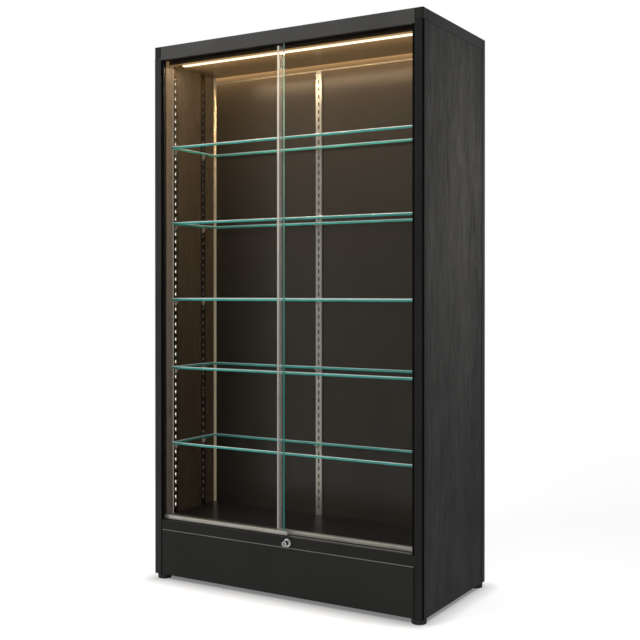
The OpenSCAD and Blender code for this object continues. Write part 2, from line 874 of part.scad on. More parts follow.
// Places a shape at the face of the back pilaster
module at_back_pilaster() {
    translate([back_pilaster_x, depth(back_depth - pilaster_d), 0]) children();
}

module pilaster_back() {
    color("#c8c3b6") at_back_pilaster() translate([0, 0, deck_top])
        pilaster_shape(ceiling_z - bead_drop - deck_top);
}

// Bracket clip: hooked tab behind the slot, back plate, gusset and arm
module clip() {
    tab_w = slot_w - 2 * pass_gap - 0.4;
    hook = pilaster_wall + 2 * fit;
    translate([-clip_w / 2, -clip_t, clip_seat - clip_h]) cube([clip_w, clip_t, clip_h]);
    translate([-clip_w / 2, -clip_arm, clip_seat - clip_t]) cube([clip_w, clip_arm, clip_t]);
    translate([-clip_t / 2, 0, 0]) along_x(clip_t) polygon([
        [-clip_t / 2, clip_seat - clip_t / 2], [-clip_arm + clip_t, clip_seat - clip_t / 2],
        [-clip_arm + clip_t, clip_seat - 2 * clip_t], [-clip_t / 2, clip_seat - clip_h + clip_t]]);
    translate([-tab_w / 2, 0, 0]) along_x(tab_w) polygon([
        [-clip_t / 2, clip_seat - fit], [hook + clip_t, clip_seat - fit],
        [hook + clip_t, -slot_h / 2 - clip_t], [hook, -slot_h / 2 - clip_t],
        [hook, -slot_h / 2 + fit], [-clip_t / 2, -slot_h / 2 + fit]]);
}

// Five clips under every shelf
module shelf_clips() {
    color("#d6d2c8") for (k = shelf_slots) translate([0, 0, slot_z(k)]) {
        for (right = [false, true], d = [pilaster_front, pilaster_rear])
            at_side_pilaster(right, d) clip();
        at_back_pilaster() clip();
    }
}

// Light bar channel let into the ceiling, open below between two thin flanges, with its row of
// light chips on the roof inside
module led_channel() {
    chips = floor((2 * led_half - 2 * chip_pitch) / chip_pitch);
    body = led_w - 2 * led_lip;
    color("#d8cfb8") translate([0, depth(led_depth), ceiling_z - led_wall]) {
        translate([-led_half, 0, 0]) along_x(2 * led_half) difference() {
            union() {
                translate([-led_w / 2, 0]) square([led_w, led_wall]);
                translate([-body / 2, 0]) square([body, led_h + led_wall]);
            }
            translate([-body / 2 + led_wall, -over]) square([body - 2 * led_wall, led_h + over]);
        }
        for (i = [0 : chips])
            translate([(i - chips / 2) * chip_pitch - led_wall, -led_wall, led_h - led_wall])
                cube([2 * led_wall, 2 * led_wall, led_wall * 1.5]);
    }
}

// Domed milky cover snapped into the light bar
module led_diffuser() {
    body = led_w - 2 * led_lip;
    inside = body - 2 * led_wall;
    dome = body * 4 / 3;
    color("#fff2d0") translate([-led_half, depth(led_depth), ceiling_z - led_wall])
        along_x(2 * led_half) {
            intersection() {
                translate([-body / 2, -led_cover]) square([body, led_cover]);
                translate([0, dome - led_cover]) circle(dome);
            }
            for (side = [-1, 1])
                translate([side * (inside / 2 - led_wall / 2 - fit) - led_wall / 2, -led_cover / 4])
                    square([led_wall, led_h / 2]);
        }
}

// Driver box with a fixing ear at each end, on the floor in front of the rear cover
module led_driver() {
    d = case_d - cover_inset - cover_t - driver_gap - driver_w / 2;
    ear = 14;
    ear_t = 3;
    ear_hole = 4.5;
    edge = 3;
    color("#4a4a4c") translate([driver_x, depth(d), deck_top]) difference() {
        union() {
            translate([-driver_l / 2, 0, 0]) along_x(driver_l) polygon([
                [-driver_w / 2, 0], [driver_w / 2, 0], [driver_w / 2, driver_h - edge],
                [driver_w / 2 - edge, driver_h], [edge - driver_w / 2, driver_h],
                [-driver_w / 2, driver_h - edge]]);
            translate([-driver_l / 2 - ear, -driver_w / 4, 0])
                cube([driver_l + 2 * ear, driver_w / 2, ear_t]);
        }
        for (side = [-1, 1])
            translate([side * (driver_l + ear) / 2, 0, -over])
                cylinder(h = ear_t + 2 * over, d = ear_hole);
    }
}

// Lock housing: flange and a barrel through the band
module lock_body() {
    color("#c4c4c6") difference() {
        union() {
            bar_y(lock_x, flange_front, band_recess, lock_z, lock_flange_d);
            bar_y(lock_x, band_recess - over, barrel_back, lock_z, lock_barrel_d);
        }
        bar_y(lock_x, flange_front - over, barrel_back + over, lock_z, knob_d + 2 * run_fit);
    }
}

// Push knob with a chamfered rim, bored for the key core, and the bolt behind it
module lock_plunger() {
    color("#d2d2d4") difference() {
        translate([lock_x, depth(knob_front), lock_z]) rotate([-90, 0, 0]) rotate_extrude() polygon([
            [0, 0], [knob_d / 2 - 0.6, 0], [knob_d / 2, 0.6], [knob_d / 2, knob_back - knob_front],
            [bolt_d / 2, knob_back - knob_front], [bolt_d / 2, bolt_tip - knob_front - 1],
            [bolt_d / 2 - 1, bolt_tip - knob_front], [0, bolt_tip - knob_front]]);
        bar_y(lock_x, knob_front - over, knob_front + core_len + pass_gap, lock_z,
              core_d + 2 * run_fit);
    }
}

// Key core with its key slot
module lock_core() {
    color("#8e8e92") difference() {
        bar_y(lock_x, knob_front + fit, knob_front + core_len, lock_z, core_d);
        translate([lock_x - 0.6, depth(knob_front - over), lock_z - core_d * 0.36])
            cube([1.2, core_len * 0.75, core_d * 0.72]);
    }
}

// Levelling foot: pad with a rounded tread and a stem up into the base frame
module foot(right, rear) {
    r = foot_d / 2;
    top = base_z - pass_gap;
    color("#161616") in_corner(right, rear) translate([foot_inset, foot_inset, 0])
        rotate_extrude() union() {
            translate([0, 1.5]) square([r, top - 2.5]);
            square([r - 1.5, top]);
            translate([r - 1.5, 1.5]) circle(1.5);
            translate([0, top - 1.5]) polygon([[0, 0], [r, 0.5], [r - 1, 1.5], [0, 1.5]]);
            square([stem_d / 2, base_z + stem_len]);
        }
}

post(false, false);  // post_front_left
post(true, false);  // post_front_right
post(false, true);  // post_rear_left
post(true, true);  // post_rear_right
corner_block(false, false);  // corner_front_left
corner_block(true, false);  // corner_front_right
corner_block(false, true);  // corner_rear_left
corner_block(true, true);  // corner_rear_right
header();
top_rail(false);  // top_rail_left
top_rail(true);  // top_rail_right
top_rail_rear();
top_panel();
ceiling_panel();
side_panel(false);  // side_panel_left
side_panel(true);  // side_panel_right
back_panel();
back_beads();
rear_cover();
cable_grommet();
base_frame();
kick_panel();
kick_trim();
front_band();
deck();
lower_track();
upper_track();
door_glass(door_left_x, left_door_edge, glass_depth);  // door_glass_left
door_glass(right_door_edge, door_right_x, glass_depth + door_pitch);  // door_glass_right
door_shoe(door_left_x, left_door_edge + keeper_len, glass_depth, left_rollers, false);  // door_shoe_left
door_shoe(right_door_edge, door_right_x, glass_depth + door_pitch, right_rollers, true);  // door_shoe_right
door_axles(left_rollers, glass_depth);  // door_axles_left
door_axles(right_rollers, glass_depth + door_pitch);  // door_axles_right
door_seal();
strike_bush();
roller(left_rollers[0], glass_depth);  // roller_left_1
roller(left_rollers[1], glass_depth);  // roller_left_2
roller(right_rollers[0], glass_depth + door_pitch);  // roller_right_1
roller(right_rollers[1], glass_depth + door_pitch);  // roller_right_2
for (i = [1 : len(shelf_slots)])
    shelf(i);
pilaster_side(false, pilaster_front);  // pilaster_left_front
pilaster_side(false, pilaster_rear);  // pilaster_left_rear
pilaster_side(true, pilaster_front);  // pilaster_right_front
pilaster_side(true, pilaster_rear);  // pilaster_right_rear
pilaster_back();
shelf_clips();
led_channel();
led_diffuser();
led_driver();
lock_body();
lock_plunger();
lock_core();
foot(false, false);  // foot_front_left
foot(true, false);  // foot_front_right
foot(false, true);  // foot_rear_left
foot(true, true);  // foot_rear_right
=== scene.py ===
"""Dresses the framed display case: finishes for all its pieces, small fittings, light and stage."""

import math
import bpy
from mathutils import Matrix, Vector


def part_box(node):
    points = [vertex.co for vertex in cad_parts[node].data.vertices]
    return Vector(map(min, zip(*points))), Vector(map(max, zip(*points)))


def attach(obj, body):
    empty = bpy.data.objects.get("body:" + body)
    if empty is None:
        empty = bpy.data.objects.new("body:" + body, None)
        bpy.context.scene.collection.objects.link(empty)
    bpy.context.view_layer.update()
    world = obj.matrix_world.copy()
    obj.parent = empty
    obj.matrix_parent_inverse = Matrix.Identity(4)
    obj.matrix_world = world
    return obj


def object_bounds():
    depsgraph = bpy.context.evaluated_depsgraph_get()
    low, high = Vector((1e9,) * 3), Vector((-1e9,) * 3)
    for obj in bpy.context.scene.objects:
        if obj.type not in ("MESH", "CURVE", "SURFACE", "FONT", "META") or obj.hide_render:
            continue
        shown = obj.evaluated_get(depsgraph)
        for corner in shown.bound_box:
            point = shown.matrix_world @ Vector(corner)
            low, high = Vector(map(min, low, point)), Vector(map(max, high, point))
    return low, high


bl_info = {
    "name": "Framed Display Case",
    "version": (1, 0, 0),
    "blender": (4, 5, 0),
    "location": "View3D > Sidebar > Display Case",
    "description": "Finishes, fittings, light and stage for a framed display case with sliding glass doors",
    "category": "Object",
}

import bpy
from bpy.props import FloatProperty, FloatVectorProperty, IntProperty, PointerProperty
from mathutils import Vector

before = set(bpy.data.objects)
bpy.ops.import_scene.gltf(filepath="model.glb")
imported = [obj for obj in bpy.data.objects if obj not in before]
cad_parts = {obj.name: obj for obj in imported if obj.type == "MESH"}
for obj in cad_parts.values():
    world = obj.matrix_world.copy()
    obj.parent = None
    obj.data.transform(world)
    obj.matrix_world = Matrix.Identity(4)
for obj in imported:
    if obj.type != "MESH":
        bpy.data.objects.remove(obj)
cad_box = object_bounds()

# Screws are let into the solids this deep, so that no gap shows under their heads
SEAT = 0.0002
# Fittings that wrap round a solid stay this far clear of it
HAIR = 0.00005
# The bar's light where it has crossed the whole case
PALE_LIGHT = (1.0, 0.86, 0.72)
# Glass: its clear faces, its pale arrises and its edges in the shade of a post
CLEAR_GLASS = (0.012, 0.020, 0.018)
PALE_ARRIS = (0.42, 0.50, 0.48)
SHADED_GLASS = (0.012, 0.010, 0.008)
# Clear plastic of the door seal, between dull and bright
SEAL_DULL = (0.44, 0.42, 0.39)
SEAL_BRIGHT = (0.60, 0.58, 0.54)
# Milky plastic of the lit cover
COVER_BODY = (0.95, 0.93, 0.88)
# Spacing of the light chips behind the lit cover
CHIP_PITCH = 0.02
# Past this distance from the middle, the upright edges of the doors stand in the shade of the posts
DOOR_SHADE = 0.3


def colour(name, value, words):
    """A colour property in linear RGB."""
    return FloatVectorProperty(name=name, description=words, subtype="COLOR", size=3,
                               min=0.0, max=1.0, default=value)


def length(name, value, words):
    """A length property in metres."""
    return FloatProperty(name=name, description=words, subtype="DISTANCE", unit="LENGTH",
                         min=0.0, default=value)


class CaseFinish(bpy.types.PropertyGroup):
    """Colours and strengths of the case's finishes."""

    powder: colour("Powder coat", (0.0140, 0.0138, 0.0130), "Satin black of posts, rails and band")
    header: colour("Header coat", (0.0530, 0.0515, 0.0495), "Satin black of the front header")
    grain_dark: colour("Dark grain", (0.0108, 0.0103, 0.0097), "Darkest streaks of the side panels")
    grain_light: colour("Light grain", (0.0298, 0.0285, 0.0268), "Lightest streaks of the side panels")
    board: colour("Plain board", (0.0160, 0.0160, 0.0149), "Laminate of kick panel, floor, top and rear")
    ceiling: colour("Ceiling board", (0.060, 0.038, 0.020), "Brown laminate above the light")
    back: colour("Back sheet", (0.029, 0.025, 0.019), "Glossy sheet behind the shelves")
    aluminium: colour("Aluminium", (0.56, 0.53, 0.47), "Satin anodised tracks, shoes and beads")
    strip: colour("Slotted strips", (0.60, 0.57, 0.50), "Bright steel of strips and clips")
    glass_edge: colour("Glass edge", (0.035, 0.27, 0.235), "Teal of the cut edges of the glass")
    door_edge: colour("Door edge", (0.20, 0.34, 0.29), "Pale green of the left door's ground edge")
    door_edge_low: colour("Low door edge", (0.055, 0.27, 0.225), "That edge far below the light")
    sealed_edge: colour("Sealed edge", (0.70, 0.65, 0.55), "The right door's edge under its clear seal")
    sealed_edge_low: colour("Low sealed edge", (0.05, 0.06, 0.055), "That edge far below the light")
    shelf_haze: FloatProperty(name="Shelf haze", description="How far the shelves' faces are from clear",
                              min=0.0, max=1.0, default=0.05)
    door_haze: FloatProperty(name="Door haze", description="How far the doors' faces are from clear",
                             min=0.0, max=1.0, default=0.014)
    rubber: colour("Rubber", (0.0022, 0.0022, 0.0022), "Black of corner beads and jamb strips")
    foot: colour("Foot plastic", (0.011, 0.011, 0.011), "Black of the levelling feet")
    grommet: colour("Grommet plastic", (0.012, 0.012, 0.012), "Black of the cable grommet")
    nylon: colour("Roller nylon", (0.74, 0.73, 0.68), "Off-white of the door rollers")
    axle: colour("Axle steel", (0.5, 0.5, 0.5), "Steel of the rollers' axles")
    strike: colour("Strike steel", (0.55, 0.55, 0.54), "Steel of the bush that takes the lock's bolt")
    core: colour("Core steel", (0.34, 0.34, 0.35), "Steel of the key core")
    cover_screw: colour("Cover screws", (0.10, 0.10, 0.10), "Blackened screws of the rear cover")
    chrome_dull: colour("Wiped chrome", (0.72, 0.72, 0.73), "Chrome of the lock, in its wiping marks")
    chrome: colour("Chrome", (0.86, 0.86, 0.86), "Chrome of the lock between them")
    cap: colour("End cap plastic", (0.20, 0.125, 0.06), "Brown of the light bar's end caps")
    driver: colour("Driver case", (0.075, 0.075, 0.078), "Dark grey of the light's driver box")
    channel: colour("Light channel", (0.95, 0.78, 0.50), "Aluminium beside the lit cover, in its glow")
    foil: colour("Strip liner", (0.92, 0.86, 0.72), "Bright foil behind the slots")
    in_shade: colour("Shaded steel", (0.20, 0.16, 0.11), "What the strips' broad faces mirror")
    back_bead: colour("Back beads", (0.72, 0.60, 0.40), "Bright beads round the back sheet")
    cover: colour("Light cover", (1.0, 0.87, 0.62), "Warm cream of the lit cover")
    cover_strength: FloatProperty(name="Cover strength", description="Brightness of the lit cover",
                                  min=0.0, default=1.6)
    spill: colour("Spilled light", (1.0, 0.58, 0.24), "Warm light of the bar on the boards beside it")
    spill_strength: FloatProperty(name="Spill strength", description="Brightness of that light at the bar",
                                  min=0.0, default=0.52)


class CaseFittings(bpy.types.PropertyGroup):
    """Sizes of the small fittings."""

    screw_r: length("Screw head radius", 0.0034, "Pan head screws of the rear cover")
    screw_h: length("Screw head height", 0.0021, "How far those heads stand proud")
    strip_screw_r: length("Strip screw radius", 0.0026, "Flat head screws of the slotted strips")
    strip_screw_h: length("Strip screw height", 0.0011, "How far those heads stand proud")
    strip_screws: IntProperty(name="Screws per strip", description="Screws along each slotted strip",
                              min=2, default=5)
    cap_t: length("End cap thickness", 0.0022, "Moulded caps on the ends of the light bar")
    cap_wall: length("End cap wall", 0.0006, "Wall of a cap beside and under the lit cover")
    cap_l: length("End cap length", 0.0125, "How far a cap reaches under the lit cover")
    slot_first: length("First slot", 0.0194, "Height of a strip's lowest slot above the strip's end")
    slot_pitch: length("Slot pitch", 0.0183, "Spacing of the slots in a strip")
    strip_end: length("Strip end", 0.03, "What a strip's row of screws leaves free at each end")
    strip_clear: length("Strip screw clearance", 0.01, "Least distance of a screw from the strip's top")
    liner_t: length("Strip liner thickness", 0.0004, "Bright foil behind the slots of a side strip")
    liner_edge: length("Liner edge", 0.0015, "How far the liner's long edges stay inside the strip")
    liner_end: length("Liner end", 0.002, "How far the liner's ends stay inside the strip")
    bead_t: length("Corner bead thickness", 0.00035, "Black bead round the outer corner of a front post")
    corner_r: length("Corner radius", 0.005, "Radius of the outer post corner")
    strip_t: length("Jamb strip thickness", 0.0006, "Black pile strip on the lip beside a door")
    strip_w: length("Jamb strip width", 0.0060, "Width of that strip on its lip")
    strip_gap: length("Jamb strip gap", 0.0001, "How far the strip stands off the post beside it")
    strip_stop: length("Jamb strip stop", 0.0004, "How far the strip ends short of band and header")
    lip_back: length("Lip setback", 0.0035, "How far a lip lies behind the front of its post")
    cover_edge: length("Cover screw edge", 0.03, "Cover screws below the top of the rear cover")
    base_edge: length("Base screw edge", 0.012, "Cover screws below the top of the base frame")
    cover_span: length("Cover screw span", 0.60, "Between the outer cover screws of a row")
    cover_row: IntProperty(name="Screws per row", description="Cover screws in a row", min=2, default=4)


class CaseStage(bpy.types.PropertyGroup):
    """Floor, camera and lamps."""

    floor: colour("Floor", (0.58, 0.58, 0.58), "Pale floor, before its lift")
    floor_size: length("Floor size", 14.0, "Side of the square floor")
    fade_from: length("Fade start", 1.1, "Where the floor starts to fade, from the middle of the case")
    fade_to: length("Fade end", 3.0, "Where the floor is gone")
    lift_inset: length("Lift inset", 0.01, "How far inside the case's outline the lift starts to rise")
    lift_to: length("Lift end", 0.05, "Clear of the case, where the floor has its full lift")
    eye: FloatVectorProperty(name="Camera place", description="Where the camera stands",
                             subtype="XYZ", unit="LENGTH", default=(1.25449, -2.08645, 0.68812))
    turn: FloatProperty(name="Camera turn", description="Turn of the camera about the upright axis",
                        subtype="ANGLE", default=math.radians(30.795))
    tilt: FloatProperty(name="Camera tilt", description="Tilt of the camera from the upright axis",
                        subtype="ANGLE", default=math.radians(89.748))
    lens: FloatProperty(name="Lens", description="Focal length on a 36 mm sensor", default=58.116)
    drop: FloatProperty(name="Lens shift", description="Upright shift of the lens", default=-0.03858)
    panes: IntProperty(name="Glass faces", description="Faces of glass that light passes before it is lost",
                       min=8, default=48)
    ambient: FloatProperty(name="Ambient", description="Even light from all round", min=0.0, default=0.54)
    gleam: FloatProperty(name="Mirrored surroundings", description="Brightness of what surfaces mirror",
                         min=0.0, default=0.38)
    floor_lift: FloatProperty(name="Floor lift", description="Even glow that keeps the floor near white",
                              min=0.0, default=0.62)
    key: FloatProperty(name="Key lamp", description="Power of the large front lamp in watts",
                       min=0.0, default=43.0)
    fill: FloatProperty(name="Side lamp", description="Power of the lamp on the right in watts",
                        min=0.0, default=4.3)
    key_place: FloatVectorProperty(name="Key lamp place", description="High on the left of the camera",
                                   subtype="XYZ", unit="LENGTH", default=(-1.15, -1.75, 2.05))
    key_size: length("Key lamp size", 1.3, "Side of the square key lamp")
    fill_place: FloatVectorProperty(name="Side lamp place", description="Close to the right side panel",
                                    subtype="XYZ", unit="LENGTH", default=(0.76, 0.12, 0.97))
    fill_size: length("Side lamp size", 0.36, "Side of the square side lamp")
    aim_height: length("Aim height", 0.65, "Height on the case's axis that both lamps face")
    bar: FloatProperty(name="Light bar power", description="Power of the light bar in watts",
                       min=0.0, default=2.3)
    bar_width: length("Light bar width", 0.010, "Width of the light under its cover")
    bar_drop: length("Light bar drop", 0.0008, "How far below its cover the light hangs")
    bar_colour: colour("Light bar colour", (1.0, 0.73, 0.45), "Warm light that falls from the bar")


def settings(context):
    """The case's three groups of settings."""
    scene = context.scene
    return scene.case_finish, scene.case_fittings, scene.case_stage


def node(tree, kind, inputs=None, **values):
    """Adds a shader node, with its settings and its linked or fixed inputs."""
    made = tree.nodes.new(kind)
    for key, value in values.items():
        setattr(made, key, value)
    for key, value in (inputs or {}).items():
        if isinstance(value, bpy.types.NodeSocket):
            tree.links.new(value, made.inputs[key])
        else:
            made.inputs[key].default_value = value
    return made


def place(tree, scale=(1.0, 1.0, 1.0)):
    """The piece's own coordinates, stretched by scale."""
    spot = node(tree, "ShaderNodeTexCoord")
    return node(tree, "ShaderNodeMapping", {"Vector": spot.outputs["Object"], "Scale": scale}).outputs[0]


def noise(tree, vector, scale, detail=4.0, rough=0.5):
    """A soft random pattern between 0 and 1."""
    return node(tree, "ShaderNodeTexNoise",
                {"Vector": vector, "Scale": scale, "Detail": detail, "Roughness": rough}).outputs["Fac"]


def span(tree, value, low, high, start=0.3, end=0.7):
    """Maps a pattern from start..end to low..high."""
    return node(tree, "ShaderNodeMapRange", {"Value": value, "From Min": start, "From Max": end,
                                             "To Min": low, "To Max": high}).outputs["Result"]


def blend_colours(tree, factor, first, second):
    """A colour between two colours, each a colour or another node's output."""
    made = node(tree, "ShaderNodeMix", data_type="RGBA")
    for key, value in ((0, factor), (6, first), (7, second)):
        if isinstance(value, bpy.types.NodeSocket):
            tree.links.new(value, made.inputs[key])
        else:
            made.inputs[key].default_value = (*value, 1.0) if key else value
    return made.outputs[2]


def blend_values(tree, factor, first, second):
    """A value between two values."""
    return node(tree, "ShaderNodeMix", {0: factor, 2: first, 3: second}, data_type="FLOAT").outputs[0]


def maths(tree, what, first, second=0.0):
    """One sum on two values."""
    return node(tree, "ShaderNodeMath", {0: first, 1: second}, operation=what).outputs[0]


def times(tree, *parts):
    """The product of several values."""
    made = parts[0]
    for part in parts[1:]:
        made = maths(tree, "MULTIPLY", made, part)
    return made


def plus(tree, *parts):
    """The sum of several values."""
    made = parts[0]
    for part in parts[1:]:
        made = maths(tree, "ADD", made, part)
    return made


def minus(tree, first, second):
    """The first value less the second."""
    return maths(tree, "SUBTRACT", first, second)


def absolute(tree, value):
    """A value without its sign."""
    return maths(tree, "ABSOLUTE", value)


def spot_of(tree):
    """The three parts of a point's place."""
    return node(tree, "ShaderNodeSeparateXYZ", {0: place(tree)}).outputs


def normal_of(tree):
    """The three parts of the direction that a point's surface faces."""
    return node(tree, "ShaderNodeSeparateXYZ",
                {0: node(tree, "ShaderNodeNewGeometry").outputs["Normal"]}).outputs


def cloudy(tree, pattern, shade, low, high):
    """A colour that a pattern makes a little darker and lighter."""
    return blend_colours(tree, span(tree, pattern, 0.0, 1.0), scaled(shade, low), scaled(shade, high))


def bump(tree, height, distance, strength=1.0):
    """Surface relief from a pattern, with its depth in metres."""
    return node(tree, "ShaderNodeBump", {"Height": height, "Distance": distance,
                                         "Strength": strength}).outputs["Normal"]


def finish(name, inputs):
    """Starts a material on one Principled shader. inputs is a function that gives its inputs."""
    made = bpy.data.materials.new(name)
    made.use_nodes = True
    tree = made.node_tree
    shader = tree.nodes["Principled BSDF"]
    for key, value in inputs(tree).items():
        if isinstance(value, bpy.types.NodeSocket):
            tree.links.new(value, shader.inputs[key])
        elif key.endswith("Color") and len(value) == 3:
            shader.inputs[key].default_value = (*value, 1.0)
        else:
            shader.inputs[key].default_value = value
    return made


def scaled(shade, amount):
    """A colour made lighter or darker."""
    return tuple(min(1.0, part * amount) for part in shade)


def powder_coat(name, shade, specular):
    """Satin powder coat: fine orange peel and a slight cloudiness."""

    def inputs(tree):
        cloud = noise(tree, place(tree), 7.0, 3.0)
        peel = noise(tree, place(tree), 620.0, 2.0)
        return {
            "Base Color": cloudy(tree, cloud, shade, 0.86, 1.16),
            "Roughness": span(tree, peel, 0.36, 0.5),
            "Specular IOR Level": specular,
            "Normal": bump(tree, peel, 0.00012, 0.5),
        }

    return finish(name, inputs)


def nearness(tree, distance, reach, power):
    """Light that falls from 1 where distance is 0 towards 0 far off. A longer reach carries it further."""
    share = maths(tree, "DIVIDE", reach, plus(tree, distance, reach))
    return maths(tree, "POWER", share, power)


def facing(tree, axis):
    """1 on faces turned to the low side of an axis, 0 for X, 1 for Y and 2 for Z, and 0 on the rest."""
    return span(tree, normal_of(tree)[axis], 1.0, 0.0, -0.8, -0.5)


def bar_light_on_side(tree, inner, lamp):
    """The bar's light on the inner face of a side panel, and how grey it is low down on the front strip.
    inner is the face's distance from the middle, and lamp the bar's place in Y and Z."""
    spot = spot_of(tree)
    inside = span(tree, absolute(tree, spot[0]), 1.0, 0.0, inner, inner + 0.0006)
    below = maths(tree, "MAXIMUM", minus(tree, lamp[1], spot[2]), 0.0)
    behind = absolute(tree, minus(tree, spot[1], lamp[0]))
    wall = nearness(tree, plus(tree, below, times(tree, behind, 0.35)), 0.70, 2.2)
    front = span(tree, spot[1], 1.0, 0.0, lamp[0] - 0.012, lamp[0] - 0.009)
    band = times(tree, front, span(tree, below, 0.21, 0.08, 0.0, 1.0))
    grey = times(tree, front, span(tree, below, 0.1, 0.8, 0.05, 0.7))
    return times(tree, inside, plus(tree, times(tree, wall, 0.175), band)), grey


def upright_woodgrain(name, dark, light, spill, strength, inner, lamp):
    """Charcoal woodgrain laminate with its grain upright and its pores pressed in.
    Its inner face takes light from the bar, as bar_light_on_side says."""

    def inputs(tree):
        broad = noise(tree, place(tree, (1.0, 1.0, 0.22)), 13.0, 5.0, 0.62)
        flame = noise(tree, place(tree, (1.0, 1.0, 0.20)), 95.0, 3.0, 0.5)
        streak = noise(tree, place(tree, (1.0, 1.0, 0.055)), 170.0, 6.0, 0.62)
        dash = noise(tree, place(tree, (1.0, 1.0, 0.10)), 330.0, 3.0, 0.55)
        pore = noise(tree, place(tree, (1.0, 1.0, 0.035)), 900.0, 2.0, 0.5)
        grain = plus(tree, times(tree, broad, 0.30), times(tree, flame, 0.24),
                     times(tree, streak, 0.30), times(tree, dash, 0.16))
        tone = blend_colours(tree, span(tree, grain, 0.0, 1.0, 0.40, 0.60), dark, light)
        pit = span(tree, pore, 0.0, 1.0, 0.28, 0.46)
        lit, grey = bar_light_on_side(tree, inner, lamp)
        return {
            "Base Color": blend_colours(tree, pit, scaled(dark, 0.55), tone),
            "Roughness": span(tree, grain, 0.58, 0.40),
            "Specular IOR Level": 0.22,
            "Emission Color": blend_colours(tree, grey, spill, PALE_LIGHT),
            "Emission Strength": times(tree, lit, pit, strength),
            "Normal": bump(tree, plus(tree, pit, times(tree, streak, 0.6)), 0.00025, 0.6),
        }

    return finish(name, inputs)


def plain_laminate(name, shade, rough=0.42):
    """Plain pressed laminate with a fine pearl texture."""

    def inputs(tree):
        pearl = noise(tree, place(tree), 380.0, 3.0)
        cloud = noise(tree, place(tree, (1.0, 1.0, 0.5)), 5.0, 4.0)
        return {
            "Base Color": cloudy(tree, cloud, shade, 0.85, 1.15),
            "Roughness": span(tree, pearl, rough - 0.05, rough + 0.08),
            "Specular IOR Level": 0.2,
            "Normal": bump(tree, pearl, 0.00010, 0.4),
        }

    return finish(name, inputs)


def ceiling_laminate(name, shade, spill, strength, lamp, half):
    """Brown laminate, brightest along the light bar, whose place in Y is lamp. half is half its length."""

    def inputs(tree):
        pearl = noise(tree, place(tree), 380.0, 3.0)
        cloud = noise(tree, place(tree, (0.5, 1.0, 1.0)), 14.0, 4.0)
        spot = spot_of(tree)
        away = absolute(tree, minus(tree, spot[1], lamp))
        ends = span(tree, absolute(tree, spot[0]), 1.0, 0.45, half - 0.03, half)
        fall = times(tree, nearness(tree, away, 0.030, 1.5), ends, facing(tree, 2))
        return {
            "Base Color": cloudy(tree, cloud, shade, 0.85, 1.15),
            "Roughness": span(tree, pearl, 0.26, 0.38),
            "Specular IOR Level": 0.3,
            "Emission Color": spill,
            "Emission Strength": times(tree, fall, strength, span(tree, cloud, 0.92, 1.08)),
        }

    return finish(name, inputs)


def gloss_sheet(name, shade, spill, strength, top):
    """Polished dark sheet, with the faint haze of handling and the light's glow close to its top edge."""

    def inputs(tree):
        haze = noise(tree, place(tree, (1.0, 1.0, 0.6)), 9.0, 5.0)
        fleck = noise(tree, place(tree), 260.0, 2.0)
        below = maths(tree, "MAXIMUM", minus(tree, top, spot_of(tree)[2]), 0.0)
        fall = times(tree, nearness(tree, below, 0.026, 2.2), facing(tree, 1))
        return {
            "Base Color": cloudy(tree, haze, shade, 0.94, 1.06),
            "Roughness": plus(tree, span(tree, haze, 0.20, 0.25), span(tree, fleck, 0.0, 0.04)),
            "Specular IOR Level": 0.26,
            "Emission Color": spill,
            "Emission Strength": times(tree, fall, strength),
        }

    return finish(name, inputs)


def satin_metal(name, shade, along, rough=0.34, glow=0.0):
    """Satin metal with drawing lines along one axis, 0 for X, 1 for Y and 2 for Z.
    glow is the light that it picks up beside the light bar."""

    def inputs(tree):
        stretch = [1.0, 1.0, 1.0]
        stretch[along] = 0.012
        line = noise(tree, place(tree, stretch), 1500.0, 3.0, 0.6)
        cloud = noise(tree, place(tree), 12.0, 3.0)
        return {
            "Base Color": cloudy(tree, cloud, shade, 0.9, 1.06),
            "Metallic": 1.0,
            "Roughness": span(tree, line, rough - 0.08, rough + 0.1),
            "Normal": bump(tree, line, 0.00006, 0.35),
            "Emission Color": shade,
            "Emission Strength": glow,
        }

    return finish(name, inputs)


def grooved_metal(name, shade, bottom, top):
    """Satin aluminium of a shoe between two heights, with a fine dark groove along its face."""

    def inputs(tree):
        line = noise(tree, place(tree, (0.012, 1.0, 1.0)), 1500.0, 3.0, 0.6)
        smear = noise(tree, place(tree, (0.25, 1.0, 1.0)), 60.0, 4.0, 0.6)
        groove_at = top - (top - bottom) * 0.36
        off = absolute(tree, minus(tree, spot_of(tree)[2], groove_at))
        groove = span(tree, off, 1.0, 0.0, 0.0010, 0.0017)
        tone = cloudy(tree, smear, shade, 0.72, 1.12)
        return {
            "Base Color": blend_colours(tree, groove, tone, scaled(shade, 0.22)),
            "Metallic": 0.85,
            "Roughness": span(tree, line, 0.26, 0.44),
            "Normal": bump(tree, minus(tree, times(tree, line, 0.2), groove), 0.0003, 0.5),
            "Emission Color": shade,
            "Emission Strength": span(tree, groove, 0.07, 0.0, 0.0, 1.0),
        }

    return finish(name, inputs)


def slotted_steel(name, shade, dim, glow):
    """Bright steel whose broad face mirrors the dark inside of the case, with bright cut edges."""

    def inputs(tree):
        line = noise(tree, place(tree, (1.0, 1.0, 0.012)), 1500.0, 3.0, 0.6)
        face = span(tree, absolute(tree, normal_of(tree)[0]), 0.0, 1.0, 0.4, 0.8)
        edge = minus(tree, 1.0, face)
        return {
            "Base Color": blend_colours(tree, face, shade, dim),
            "Metallic": 1.0,
            "Roughness": span(tree, line, 0.26, 0.44),
            "Normal": bump(tree, line, 0.00006, 0.35),
            "Emission Color": shade,
            "Emission Strength": times(tree, edge, glow),
        }

    return finish(name, inputs)


